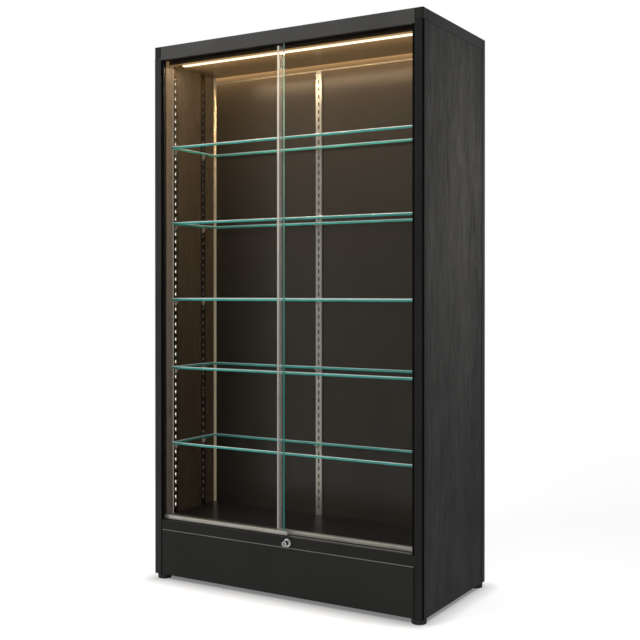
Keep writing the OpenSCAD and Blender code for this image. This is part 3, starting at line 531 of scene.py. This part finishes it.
def polished_chrome(name, dull, bright):
    """Polished chrome with fine wiping marks."""

    def inputs(tree):
        wipe = noise(tree, place(tree, (1.0, 0.25, 1.0)), 420.0, 3.0)
        return {
            "Base Color": blend_colours(tree, span(tree, wipe, 0.0, 1.0), dull, bright),
            "Metallic": 1.0,
            "Roughness": span(tree, wipe, 0.05, 0.13),
        }

    return finish(name, inputs)


def moulded_plastic(name, shade, rough=0.5, specular=0.4):
    """Moulded plastic with a spark-eroded texture."""

    def inputs(tree):
        grit = noise(tree, place(tree), 1100.0, 2.0)
        cloud = noise(tree, place(tree), 40.0, 2.0)
        return {
            "Base Color": cloudy(tree, cloud, shade, 0.9, 1.1),
            "Roughness": span(tree, grit, rough - 0.06, rough + 0.08),
            "Specular IOR Level": specular,
            "Normal": bump(tree, grit, 0.00008, 0.5),
        }

    return finish(name, inputs)


def glass_sheet(name, clear, across, edge_look):
    """Float glass: nearly clear through its two faces, coloured at its cut edges.
    across is the axis through the sheet, 1 for Y and 2 for Z. edge_look is a function that takes the
    wavy tone pattern and gives the edges' colour, glow colour, glow strength and roughness."""

    def inputs(tree):
        rim = span(tree, absolute(tree, normal_of(tree)[across]), 1.0, 0.0, 0.80, 0.95)
        wave = noise(tree, place(tree), 30.0, 3.0)
        glance = node(tree, "ShaderNodeFresnel", {"IOR": 1.35}).outputs[0]
        veil = maths(tree, "MINIMUM", plus(tree, times(tree, glance, 0.42), clear), 0.10)
        outside = minus(tree, 1.0, node(tree, "ShaderNodeNewGeometry").outputs["Backfacing"])
        tone, glow, lift, rough = edge_look(tree, wave)
        return {
            "Base Color": blend_colours(tree, rim, CLEAR_GLASS, tone),
            "Roughness": blend_values(tree, rim, span(tree, wave, 0.01, 0.03), rough),
            "Specular IOR Level": 0.5,
            "Alpha": blend_values(tree, rim, times(tree, veil, outside), 0.93),
            "Emission Color": glow,
            "Emission Strength": times(tree, rim, lift),
        }

    return finish(name, inputs)


def door_glass(name, edge, low_edge, clear, glow_by):
    """Glass of a door, whose edges have the colour low_edge far below the light bar."""

    def edge_look(tree, wave):
        spot = spot_of(tree)
        height = span(tree, spot[2], 0.0, 1.0, 0.45, 1.15)
        lit = blend_colours(tree, height, low_edge, cloudy(tree, wave, edge, 0.8, 1.2))
        shade = span(tree, absolute(tree, spot[0]), 0.0, 1.0, DOOR_SHADE, DOOR_SHADE + 0.002)
        tone = blend_colours(tree, shade, lit, SHADED_GLASS)
        glow = blend_colours(tree, height, low_edge, edge)
        lift = times(tree, minus(tree, 1.0, shade), glow_by)
        return tone, glow, lift, span(tree, shade, 0.16, 0.95, 0.0, 1.0)

    return glass_sheet(name, clear, 1, edge_look)


def shelf_glass(name, edge, clear, top):
    """Glass of a shelf with its upper face at top, with a light arris and a pale rear edge."""

    def edge_look(tree, wave):
        arris = span(tree, spot_of(tree)[2], 0.0, 1.0, top - 0.0019, top - 0.0013)
        rear = span(tree, normal_of(tree)[1], 0.0, 1.0, 0.5, 0.8)
        pale = maths(tree, "MAXIMUM", arris, times(tree, rear, 0.75))
        tone = blend_colours(tree, pale, cloudy(tree, wave, edge, 0.8, 1.2), PALE_ARRIS)
        glow = blend_colours(tree, pale, edge, PALE_ARRIS)
        return tone, glow, span(tree, pale, 0.10, 0.34, 0.0, 1.0), 0.16

    return glass_sheet(name, clear, 2, edge_look)


def clear_seal(name):
    """Clear extruded plastic: see-through from the front, bright where light runs out of its edges."""

    def inputs(tree):
        draw = noise(tree, place(tree, (1.0, 1.0, 0.02)), 700.0, 3.0)
        side = span(tree, absolute(tree, normal_of(tree)[0]), 0.0, 1.0, 0.4, 0.8)
        return {
            "Base Color": blend_colours(tree, span(tree, draw, 0.0, 1.0), SEAL_DULL, SEAL_BRIGHT),
            "Roughness": span(tree, draw, 0.12, 0.24),
            "Alpha": plus(tree, times(tree, side, 0.70), span(tree, draw, 0.05, 0.12)),
            "Emission Color": SEAL_BRIGHT,
            "Emission Strength": times(tree, side, 0.44),
        }

    return finish(name, inputs)


def lit_cover(name, shade, strength):
    """Milky cover of the light bar, glowing a little less between its light chips."""

    def inputs(tree):
        phase = times(tree, spot_of(tree)[0], 2.0 * math.pi / CHIP_PITCH)
        ripple = span(tree, maths(tree, "COSINE", phase), 0.94, 1.0, -1.0, 1.0)
        return {
            "Base Color": blend_colours(tree, ripple, scaled(shade, 0.9), COVER_BODY),
            "Roughness": 0.45,
            "Emission Color": shade,
            "Emission Strength": times(tree, ripple, strength),
        }

    return finish(name, inputs)


def dotted_foil(name, shade, first, pitch, glow):
    """Bright foil lit through the slots in front of it, the first of them at height first."""

    def inputs(tree):
        crumple = noise(tree, place(tree), 160.0, 3.0)
        phase = times(tree, minus(tree, spot_of(tree)[2], first), 2.0 * math.pi / pitch)
        dot = span(tree, maths(tree, "COSINE", phase), 0.04, 1.0, 0.35, 0.9)
        return {
            "Base Color": blend_colours(tree, dot, scaled(shade, 0.12), shade),
            "Metallic": 1.0,
            "Roughness": span(tree, crumple, 0.3, 0.5),
            "Normal": bump(tree, crumple, 0.0001, 0.5),
            "Emission Color": shade,
            "Emission Strength": times(tree, dot, glow),
        }

    return finish(name, inputs)


def wear(made, *names):
    """Gives CAD nodes one material."""
    for name in names:
        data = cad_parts[name].data
        data.materials.clear()
        data.materials.append(made)


def names_with(*starts):
    """CAD nodes whose names start with one of the given words."""
    return [name for name in sorted(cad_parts) if name.startswith(starts)]


def clear_selection():
    """Leaves nothing selected and no piece in edit mode."""
    if bpy.context.object and bpy.context.object.mode != "OBJECT":
        bpy.ops.object.mode_set(mode="OBJECT")
    bpy.ops.object.select_all(action="DESELECT")


def choose(piece):
    """Leaves one piece selected and active."""
    clear_selection()
    piece.select_set(True)
    bpy.context.view_layer.objects.active = piece


def pick(test, kind="FACE"):
    """Selects the faces or edges of the piece in edit mode for which test is true."""
    bpy.ops.mesh.select_all(action="DESELECT")
    bpy.ops.mesh.select_mode(type=kind)
    bpy.ops.object.mode_set(mode="OBJECT")
    data = bpy.context.object.data
    if kind == "FACE":
        for face in data.polygons:
            face.select = test(face.center, face.normal)
    else:
        for edge in data.edges:
            ends = [data.vertices[i].co for i in edge.vertices]
            edge.select = test(*ends)
    bpy.ops.object.mode_set(mode="EDIT")


def use_modifier(piece, kind, **values):
    """Adds a modifier to the active piece and applies it."""
    made = piece.modifiers.new(kind.title(), kind)
    for key, value in values.items():
        setattr(made, key, value)
    bpy.ops.object.modifier_apply(modifier=made.name)


def settle(piece, name, material, body):
    """Names a finished piece, puts its place into its mesh and makes it ride on its body."""
    choose(piece)
    bpy.ops.object.transform_apply(location=True, rotation=True, scale=True)
    piece.name = name
    piece.data.name = name
    piece.data.materials.clear()
    piece.data.materials.append(material)
    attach(piece, body)
    return piece


def block(first, second):
    """A box between two corners."""
    clear_selection()
    bpy.ops.mesh.primitive_cube_add(size=1.0, location=[(a + b) / 2 for a, b in zip(first, second)])
    made = bpy.context.object
    made.scale = [abs(a - b) for a, b in zip(first, second)]
    bpy.ops.object.transform_apply(location=True, scale=True)
    return made


def screw_head(radius, height, dome):
    """A screw head lying on z = 0, with a hexagon socket in its top."""
    clear_selection()
    bpy.ops.mesh.primitive_cylinder_add(vertices=32, radius=radius, depth=height,
                                        location=(0.0, 0.0, height / 2))
    head = bpy.context.object
    bpy.ops.object.transform_apply(location=True)
    bpy.ops.object.mode_set(mode="EDIT")
    pick(lambda a, b: min(a.z, b.z) > height * 0.9, "EDGE")
    bpy.ops.mesh.bevel(offset=height * dome, segments=3, profile=0.6)
    bpy.ops.object.mode_set(mode="OBJECT")
    bpy.ops.mesh.primitive_cylinder_add(vertices=6, radius=radius * 0.5, depth=height * 1.2,
                                        location=(0.0, 0.0, height))
    socket = bpy.context.object
    choose(head)
    use_modifier(head, "BOOLEAN", operation="DIFFERENCE", object=socket, solver="EXACT")
    bpy.data.objects.remove(socket)
    bpy.ops.object.shade_smooth_by_angle(angle=math.radians(35))
    return head


def spread(first, spots, turn):
    """Copies a piece to each spot with the given turn and joins the copies."""
    copies = []
    for spot in spots:
        choose(first)
        bpy.ops.object.duplicate()
        copy = bpy.context.object
        copy.rotation_euler = turn
        copy.location = spot
        bpy.ops.object.transform_apply(location=True, rotation=True)
        copies.append(copy)
    clear_selection()
    bpy.data.objects.remove(first)
    for copy in copies:
        copy.select_set(True)
    bpy.context.view_layer.objects.active = copies[0]
    bpy.ops.object.join()
    return bpy.context.object


# Each powder coat: its name, its lightness beside the plain coat, its specular level and its nodes
COATS = (
    ("frame", 1.0, 0.22, ("post_rear", "top_rail_")),
    ("left_post", 1.7, 0.22, ("post_front_left",)),
    ("right_post", 0.9, 0.18, ("post_front_right",)),
    ("corner", 1.2, 0.22, ("corner_",)),
    ("band", 0.95, 0.20, ("front_band",)),
    ("track", 0.8, 0.22, ("upper_track",)),
    ("base", 0.9, 0.22, ("base_frame",)),
)


class CASE_OT_frame(bpy.types.Operator):
    """Powder coat on posts, rails, corner blocks, header, band, upper track and base frame"""

    bl_idname = "case.frame"
    bl_label = "Frame"

    def execute(self, context):
        colours, _, _ = settings(context)
        wear(powder_coat("header_powder_coat", colours.header, 0.22), "header")
        for word, lightness, specular, starts in COATS:
            coat = powder_coat(word + "_powder_coat", scaled(colours.powder, lightness), specular)
            wear(coat, *names_with(*starts))
        return {"FINISHED"}


class CASE_OT_beads(bpy.types.Operator):
    """Black beads round the outer corners of the front posts and pile strips on their lips"""

    bl_idname = "case.beads"
    bl_label = "Corner beads and jamb strips"

    def execute(self, context):
        colours, sizes, _ = settings(context)
        rubber = moulded_plastic("black_rubber", colours.rubber, 0.6, 0.06)
        for side, name in ((-1.0, "post_front_left"), (1.0, "post_front_right")):
            low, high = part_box(name)
            outer = low.x if side < 0 else high.x
            word = name.rsplit("_", 1)[1]
            self.bend_bead(outer - side * sizes.corner_r, low.y + sizes.corner_r, low.z, high.z, side,
                           sizes)
            settle(bpy.context.object, "corner_bead_" + word, rubber, "carcass")
            inner = high.x if side < 0 else low.x
            self.lay_strip(inner, low.y, side, sizes)
            settle(bpy.context.object, "jamb_strip_" + word, rubber, "carcass")
        return {"FINISHED"}

    def bend_bead(self, x, y, bottom, top, side, sizes):
        """A quarter of a thin tube round the post's outer corner."""
        clear_selection()
        bpy.ops.mesh.primitive_cylinder_add(vertices=64, radius=sizes.corner_r, depth=top - bottom,
                                            end_fill_type="NOTHING",
                                            location=(x, y, (bottom + top) / 2))
        tube = bpy.context.object
        bpy.ops.object.mode_set(mode="EDIT")
        pick(lambda centre, normal: not (normal.x * side > 0.5 and normal.y < 0.0))
        bpy.ops.mesh.delete(type="FACE")
        bpy.ops.object.mode_set(mode="OBJECT")
        use_modifier(tube, "SOLIDIFY", thickness=sizes.bead_t, offset=1.0)
        bpy.ops.object.shade_smooth_by_angle(angle=math.radians(35))

    def lay_strip(self, inner, front, side, sizes):
        """A flat strip on the front of the post's lip."""
        near = inner + side * sizes.strip_gap
        face = front + sizes.lip_back + sizes.strip_gap
        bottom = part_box("front_band")[1].z + sizes.strip_stop
        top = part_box("header")[0].z - sizes.strip_stop
        strip = block((near, face - sizes.strip_t, bottom), (near + side * sizes.strip_w, face, top))
        use_modifier(strip, "BEVEL", width=0.00015, segments=2)


class CASE_OT_panels(bpy.types.Operator):
    """Laminates on the side panels, top, ceiling, floor, kick panel and rear cover, and the back sheet"""

    bl_idname = "case.panels"
    bl_label = "Panels"

    def execute(self, context):
        colours, _, _ = settings(context)
        low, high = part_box("led_diffuser")
        lamp = ((low.y + high.y) / 2, low.z)
        spill = tuple(colours.spill)
        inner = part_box("side_panel_right")[0].x
        wear(upright_woodgrain("side_woodgrain", colours.grain_dark, colours.grain_light, spill,
                               colours.spill_strength, inner, lamp), *names_with("side_panel_"))
        wear(plain_laminate("black_laminate", colours.board), "top_panel", "kick_panel", "rear_cover")
        wear(plain_laminate("floor_laminate", colours.board, 0.3), "deck")
        wear(ceiling_laminate("ceiling_laminate", colours.ceiling, spill, colours.spill_strength, lamp[0],
                              high.x), "ceiling_panel")
        wear(gloss_sheet("back_gloss", colours.back, spill, colours.spill_strength,
                         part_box("ceiling_panel")[0].z), "back_panel")
        wear(moulded_plastic("grommet_plastic", colours.grommet), "cable_grommet")
        return {"FINISHED"}


class CASE_OT_doors(bpy.types.Operator):
    """Glass, shoes, rollers, axles and seal of the sliding doors, and their tracks"""

    bl_idname = "case.doors"
    bl_label = "Sliding doors"

    def execute(self, context):
        colours, _, _ = settings(context)
        wear(door_glass("left_door_glass", tuple(colours.door_edge), tuple(colours.door_edge_low),
                        colours.door_haze, 0.30), "door_glass_left")
        wear(door_glass("right_door_glass", tuple(colours.sealed_edge), tuple(colours.sealed_edge_low),
                        colours.door_haze, 0.5), "door_glass_right")
        for name in names_with("door_shoe_"):
            low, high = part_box(name)
            wear(grooved_metal(name + "_aluminium", scaled(colours.aluminium, 1.1), low.z, high.z), name)
        wear(satin_metal("track_aluminium", colours.aluminium, 0), "lower_track")
        wear(satin_metal("trim_aluminium", scaled(colours.aluminium, 0.8), 0), "kick_trim")
        wear(satin_metal("axle_steel", colours.axle, 1, 0.25), "door_axles_left", "door_axles_right")
        wear(satin_metal("strike_steel", colours.strike, 1, 0.25), "strike_bush")
        wear(moulded_plastic("roller_nylon", colours.nylon, 0.4), *names_with("roller_"))
        wear(clear_seal("seal_plastic"), "door_seal")
        return {"FINISHED"}


class CASE_OT_shelves(bpy.types.Operator):
    """Glass shelves, slotted strips, bracket clips and the beads round the back sheet"""

    bl_idname = "case.shelves"
    bl_label = "Shelves and strips"

    def execute(self, context):
        colours, sizes, _ = settings(context)
        for name in [name for name in names_with("shelf_") if name != "shelf_clips"]:
            wear(shelf_glass(name + "_glass", tuple(colours.glass_edge), colours.shelf_haze,
                             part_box(name)[1].z), name)
        wear(satin_metal("strip_steel", colours.strip, 2, 0.34, 0.05), "pilaster_back")
        dim = tuple(colours.in_shade)
        wear(slotted_steel("front_strip_steel", tuple(colours.strip), dim, 0.40),
             "pilaster_left_front", "pilaster_right_front")
        wear(slotted_steel("rear_strip_steel", dim, dim, 0.02), "pilaster_left_rear", "pilaster_right_rear")
        self.line_strips(colours, sizes)
        wear(satin_metal("clip_steel", scaled(colours.strip, 1.1), 1, 0.28), "shelf_clips")
        wear(satin_metal("bead_aluminium", colours.back_bead, 0, 0.3, 0.16), "back_beads")
        self.screw_strips(colours, sizes)
        return {"FINISHED"}

    def screw_strips(self, colours, sizes):
        """Flat head screws that hold the slotted strips, each between two slots."""
        screws = satin_metal("screw_steel", scaled(colours.strip, 0.9), 1, 0.25)
        for name in names_with("pilaster_"):
            low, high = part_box(name)
            middle = (low + high) / 2
            pitches = (high.z - low.z - 2 * sizes.strip_end) / sizes.slot_pitch
            step = sizes.slot_pitch * round(pitches / (sizes.strip_screws - 1))
            start = low.z + sizes.slot_first + sizes.slot_pitch / 2
            heights = [start + i * step for i in range(sizes.strip_screws)]
            heights = [z for z in heights if z < high.z - sizes.strip_clear]
            head = screw_head(sizes.strip_screw_r, sizes.strip_screw_h, 0.3)
            if name == "pilaster_back":
                spots = [(middle.x, low.y + SEAT, z) for z in heights]
                turn = (math.radians(90), 0.0, 0.0)
            else:
                right = middle.x > 0
                spots = [((low.x + SEAT) if right else (high.x - SEAT), middle.y, z) for z in heights]
                turn = (0.0, math.radians(-90 if right else 90), 0.0)
            settle(spread(head, spots, turn), name + "_screws", screws, "carcass")

    def line_strips(self, colours, sizes):
        """Bright foils on the panels behind the slots of the side strips."""
        for name in names_with("pilaster_left", "pilaster_right"):
            low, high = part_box(name)
            glow = 1.15 if name.endswith("front") else 0.16
            foil = dotted_foil(name.replace("pilaster", "foil"), tuple(colours.foil),
                               low.z + sizes.slot_first, sizes.slot_pitch, glow)
            outer, inward = (low.x, 1.0) if low.x < 0 else (high.x, -1.0)
            liner = block((outer, low.y + sizes.liner_edge, low.z + sizes.liner_end),
                          (outer + inward * sizes.liner_t, high.y - sizes.liner_edge,
                           high.z - sizes.liner_end))
            use_modifier(liner, "BEVEL", width=sizes.liner_t * 0.3, segments=2)
            settle(liner, name.replace("pilaster", "strip_liner"), foil, "carcass")


class CASE_OT_light(bpy.types.Operator):
    """Light bar with its glowing cover and end caps, and the driver box"""

    bl_idname = "case.light"
    bl_label = "Light bar"

    def execute(self, context):
        colours, sizes, _ = settings(context)
        wear(satin_metal("light_channel", colours.channel, 0, 0.4, 0.75), "led_channel")
        wear(lit_cover("light_cover", colours.cover, colours.cover_strength), "led_diffuser")
        wear(moulded_plastic("driver_case", colours.driver, 0.45), "led_driver")
        cap = moulded_plastic("end_cap_plastic", colours.cap, 0.4)
        low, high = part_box("led_channel")
        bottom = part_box("led_diffuser")[0].z
        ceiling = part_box("ceiling_panel")[0].z
        for side, end, outward in (("left", low.x, -1.0), ("right", high.x, 1.0)):
            self.mould_cap(end, outward, low.y, high.y, bottom, ceiling, sizes)
            settle(bpy.context.object, "light_end_cap_" + side, cap, "carcass")
        return {"FINISHED"}

    def mould_cap(self, end, outward, front, back, bottom, ceiling, sizes):
        """A tray that closes one end of the bar and wraps round its cover below the ceiling."""
        wall = sizes.cap_wall
        outer = end + outward * sizes.cap_t
        inner = end - outward * sizes.cap_l
        tray = block((outer, front - wall, bottom - wall), (inner, back + wall, ceiling - HAIR))
        room = block((end + outward * HAIR, front - HAIR, bottom - HAIR),
                     (inner - outward, back + HAIR, ceiling + wall))
        choose(tray)
        use_modifier(tray, "BOOLEAN", operation="DIFFERENCE", object=room, solver="EXACT")
        bpy.data.objects.remove(room)
        use_modifier(tray, "BEVEL", width=wall * 0.4, segments=2, limit_method="ANGLE",
                     angle_limit=math.radians(40))

class CASE_OT_lock(bpy.types.Operator):
    """Chrome lock housing and push knob, and the steel key core"""

    bl_idname = "case.lock"
    bl_label = "Lock"

    def execute(self, context):
        colours, _, _ = settings(context)
        wear(polished_chrome("lock_chrome", tuple(colours.chrome_dull), tuple(colours.chrome)),
             "lock_body", "lock_plunger")
        wear(satin_metal("core_steel", colours.core, 1, 0.22), "lock_core")
        return {"FINISHED"}


class CASE_OT_feet(bpy.types.Operator):
    """Moulded black levelling feet"""

    bl_idname = "case.feet"
    bl_label = "Levelling feet"

    def execute(self, context):
        colours, _, _ = settings(context)
        wear(moulded_plastic("foot_plastic", colours.foot, 0.48), *names_with("foot_"))
        return {"FINISHED"}


class CASE_OT_fixings(bpy.types.Operator):
    """Pan head screws round the rear cover"""

    bl_idname = "case.fixings"
    bl_label = "Rear cover screws"

    def execute(self, context):
        colours, sizes, _ = settings(context)
        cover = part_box("rear_cover")[1]
        deck_low, deck_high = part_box("deck")
        levels = [(deck_low.z + deck_high.z) / 2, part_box("base_frame")[1].z - sizes.base_edge,
                  cover.z - sizes.cover_edge]
        gap = sizes.cover_span / (sizes.cover_row - 1)
        columns = [i * gap - sizes.cover_span / 2 for i in range(sizes.cover_row)]
        steel = satin_metal("cover_screw_steel", colours.cover_screw, 1, 0.35)
        head = screw_head(sizes.screw_r, sizes.screw_h, 0.45)
        spots = [(x, cover.y - SEAT, z) for z in levels for x in columns]
        screws = spread(head, spots, (math.radians(-90), 0.0, 0.0))
        settle(screws, "cover_screws", steel, "carcass")
        return {"FINISHED"}


class CASE_OT_stage(bpy.types.Operator):
    """Pale floor, white background, soft lamps and the camera"""

    bl_idname = "case.stage"
    bl_label = "Stage"

    def execute(self, context):
        _, _, stage = settings(context)
        scene = context.scene
        scene.view_settings.view_transform = "Standard"
        scene.cycles.transparent_max_bounces = stage.panes
        self.lay_floor(stage)
        self.light_world(scene, stage)
        self.hang_lamps(stage)
        self.hang_bar(stage)
        eye = bpy.data.cameras.new("camera")
        eye.lens = stage.lens
        eye.sensor_width = 36.0
        eye.shift_y = stage.drop
        camera = bpy.data.objects.new("camera", eye)
        camera.location = stage.eye
        camera.rotation_euler = (stage.tilt, 0.0, stage.turn)
        scene.collection.objects.link(camera)
        scene.camera = camera
        return {"FINISHED"}

    def lay_floor(self, stage):
        """A wide floor that fades into the white background far from the case."""
        clear_selection()
        bpy.ops.mesh.primitive_grid_add(x_subdivisions=24, y_subdivisions=24, size=stage.floor_size)
        floor = bpy.context.object
        floor.name = "floor"
        made = bpy.data.materials.new("floor")
        made.use_nodes = True
        tree = made.node_tree
        tree.nodes.remove(tree.nodes["Principled BSDF"])
        away = node(tree, "ShaderNodeVectorMath", {0: place(tree)}, operation="LENGTH").outputs["Value"]
        matt = node(tree, "ShaderNodeBsdfDiffuse", {"Color": (*stage.floor, 1.0)})
        seen = node(tree, "ShaderNodeLightPath").outputs["Is Camera Ray"]
        spot = spot_of(tree)
        edges = [cad_box[1][i] - stage.lift_inset for i in (0, 1)]
        beside = [maths(tree, "MAXIMUM", minus(tree, absolute(tree, spot[i]), edges[i]), 0.0) for i in (0, 1)]
        clear = maths(tree, "SQRT", plus(tree, *(maths(tree, "POWER", side, 2.0) for side in beside)))
        glow = times(tree, span(tree, clear, 0.30, 1.0, 0.0, stage.lift_to), stage.floor_lift)
        lift = node(tree, "ShaderNodeEmission", {"Strength": times(tree, seen, glow)})
        lit = node(tree, "ShaderNodeAddShader", {0: matt.outputs[0], 1: lift.outputs[0]})
        gone = node(tree, "ShaderNodeBsdfTransparent")
        fade = span(tree, away, 0.0, 1.0, stage.fade_from, stage.fade_to)
        both = node(tree, "ShaderNodeMixShader", {0: fade, 1: lit.outputs[0], 2: gone.outputs[0]})
        tree.links.new(both.outputs[0], tree.nodes["Material Output"].inputs["Surface"])
        floor.data.materials.append(made)

    def light_world(self, scene, stage):
        """Even light from all round, white where it is seen or mirrored."""
        world = bpy.data.worlds.new("studio")
        world.use_nodes = True
        scene.world = world
        tree = world.node_tree
        ray = node(tree, "ShaderNodeLightPath")
        seen = maths(tree, "MAXIMUM", ray.outputs["Is Camera Ray"], ray.outputs["Is Transmission Ray"])
        around = span(tree, ray.outputs["Is Glossy Ray"], stage.ambient, stage.gleam, 0.0, 1.0)
        strength = blend_values(tree, seen, around, 1.0)
        back = tree.nodes["Background"]
        back.inputs["Color"].default_value = (1.0, 1.0, 1.0, 1.0)
        tree.links.new(strength, back.inputs["Strength"])

    def hang_lamps(self, stage):
        """A large key lamp on the left of the camera and a side lamp on the right, both out of sight."""
        lamps = (("key_lamp", stage.key_place, stage.key, stage.key_size),
                 ("side_lamp", stage.fill_place, stage.fill, stage.fill_size))
        for name, spot, power, size in lamps:
            data = bpy.data.lights.new(name, "AREA")
            data.shape = "SQUARE"
            data.size = size
            data.energy = power
            lamp = bpy.data.objects.new(name, data)
            lamp.visible_camera = False
            lamp.visible_glossy = False
            lamp.location = spot
            aim = Vector((0.0, 0.0, stage.aim_height)) - Vector(spot)
            lamp.rotation_euler = aim.to_track_quat("-Z", "Y").to_euler()
            bpy.context.scene.collection.objects.link(lamp)

    def hang_bar(self, stage):
        """The light that falls from the lit cover."""
        low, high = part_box("led_diffuser")
        data = bpy.data.lights.new("light_bar", "AREA")
        data.shape = "RECTANGLE"
        data.size = (high.x - low.x) * 0.99
        data.size_y = stage.bar_width
        data.energy = stage.bar
        data.color = stage.bar_colour
        bar = bpy.data.objects.new("light_bar", data)
        bar.location = ((low.x + high.x) / 2, (low.y + high.y) / 2, low.z - stage.bar_drop)
        bar.visible_camera = False
        bpy.context.scene.collection.objects.link(bar)


OPERATORS = (CASE_OT_frame, CASE_OT_beads, CASE_OT_panels, CASE_OT_doors, CASE_OT_shelves, CASE_OT_light,
             CASE_OT_lock, CASE_OT_feet, CASE_OT_fixings, CASE_OT_stage)


class CASE_PT_sidebar(bpy.types.Panel):
    """Lists the case's pieces and their settings."""

    bl_idname = "CASE_PT_sidebar"
    bl_label = "Display Case"
    bl_space_type = "VIEW_3D"
    bl_region_type = "UI"
    bl_category = "Display Case"

    def draw(self, context):
        for group in settings(context):
            box = self.layout.box()
            for key in group.bl_rna.properties.keys():
                if key not in ("rna_type", "name"):
                    box.prop(group, key)
        for operator in OPERATORS:
            self.layout.operator(operator.bl_idname)


CLASSES = (CaseFinish, CaseFittings, CaseStage, *OPERATORS, CASE_PT_sidebar)


def register():
    """Adds the settings, the operators and the panel to Blender."""
    for made in CLASSES:
        bpy.utils.register_class(made)
    bpy.types.Scene.case_finish = PointerProperty(type=CaseFinish)
    bpy.types.Scene.case_fittings = PointerProperty(type=CaseFittings)
    bpy.types.Scene.case_stage = PointerProperty(type=CaseStage)


def unregister():
    """Takes them out again."""
    del bpy.types.Scene.case_stage
    del bpy.types.Scene.case_fittings
    del bpy.types.Scene.case_finish
    for made in reversed(CLASSES):
        bpy.utils.unregister_class(made)


def main():
    """Dresses the case."""
    register()
    for operator in OPERATORS:
        group, name = operator.bl_idname.split(".")
        getattr(getattr(bpy.ops, group), name)()


if __name__ == "__main__":
    main()
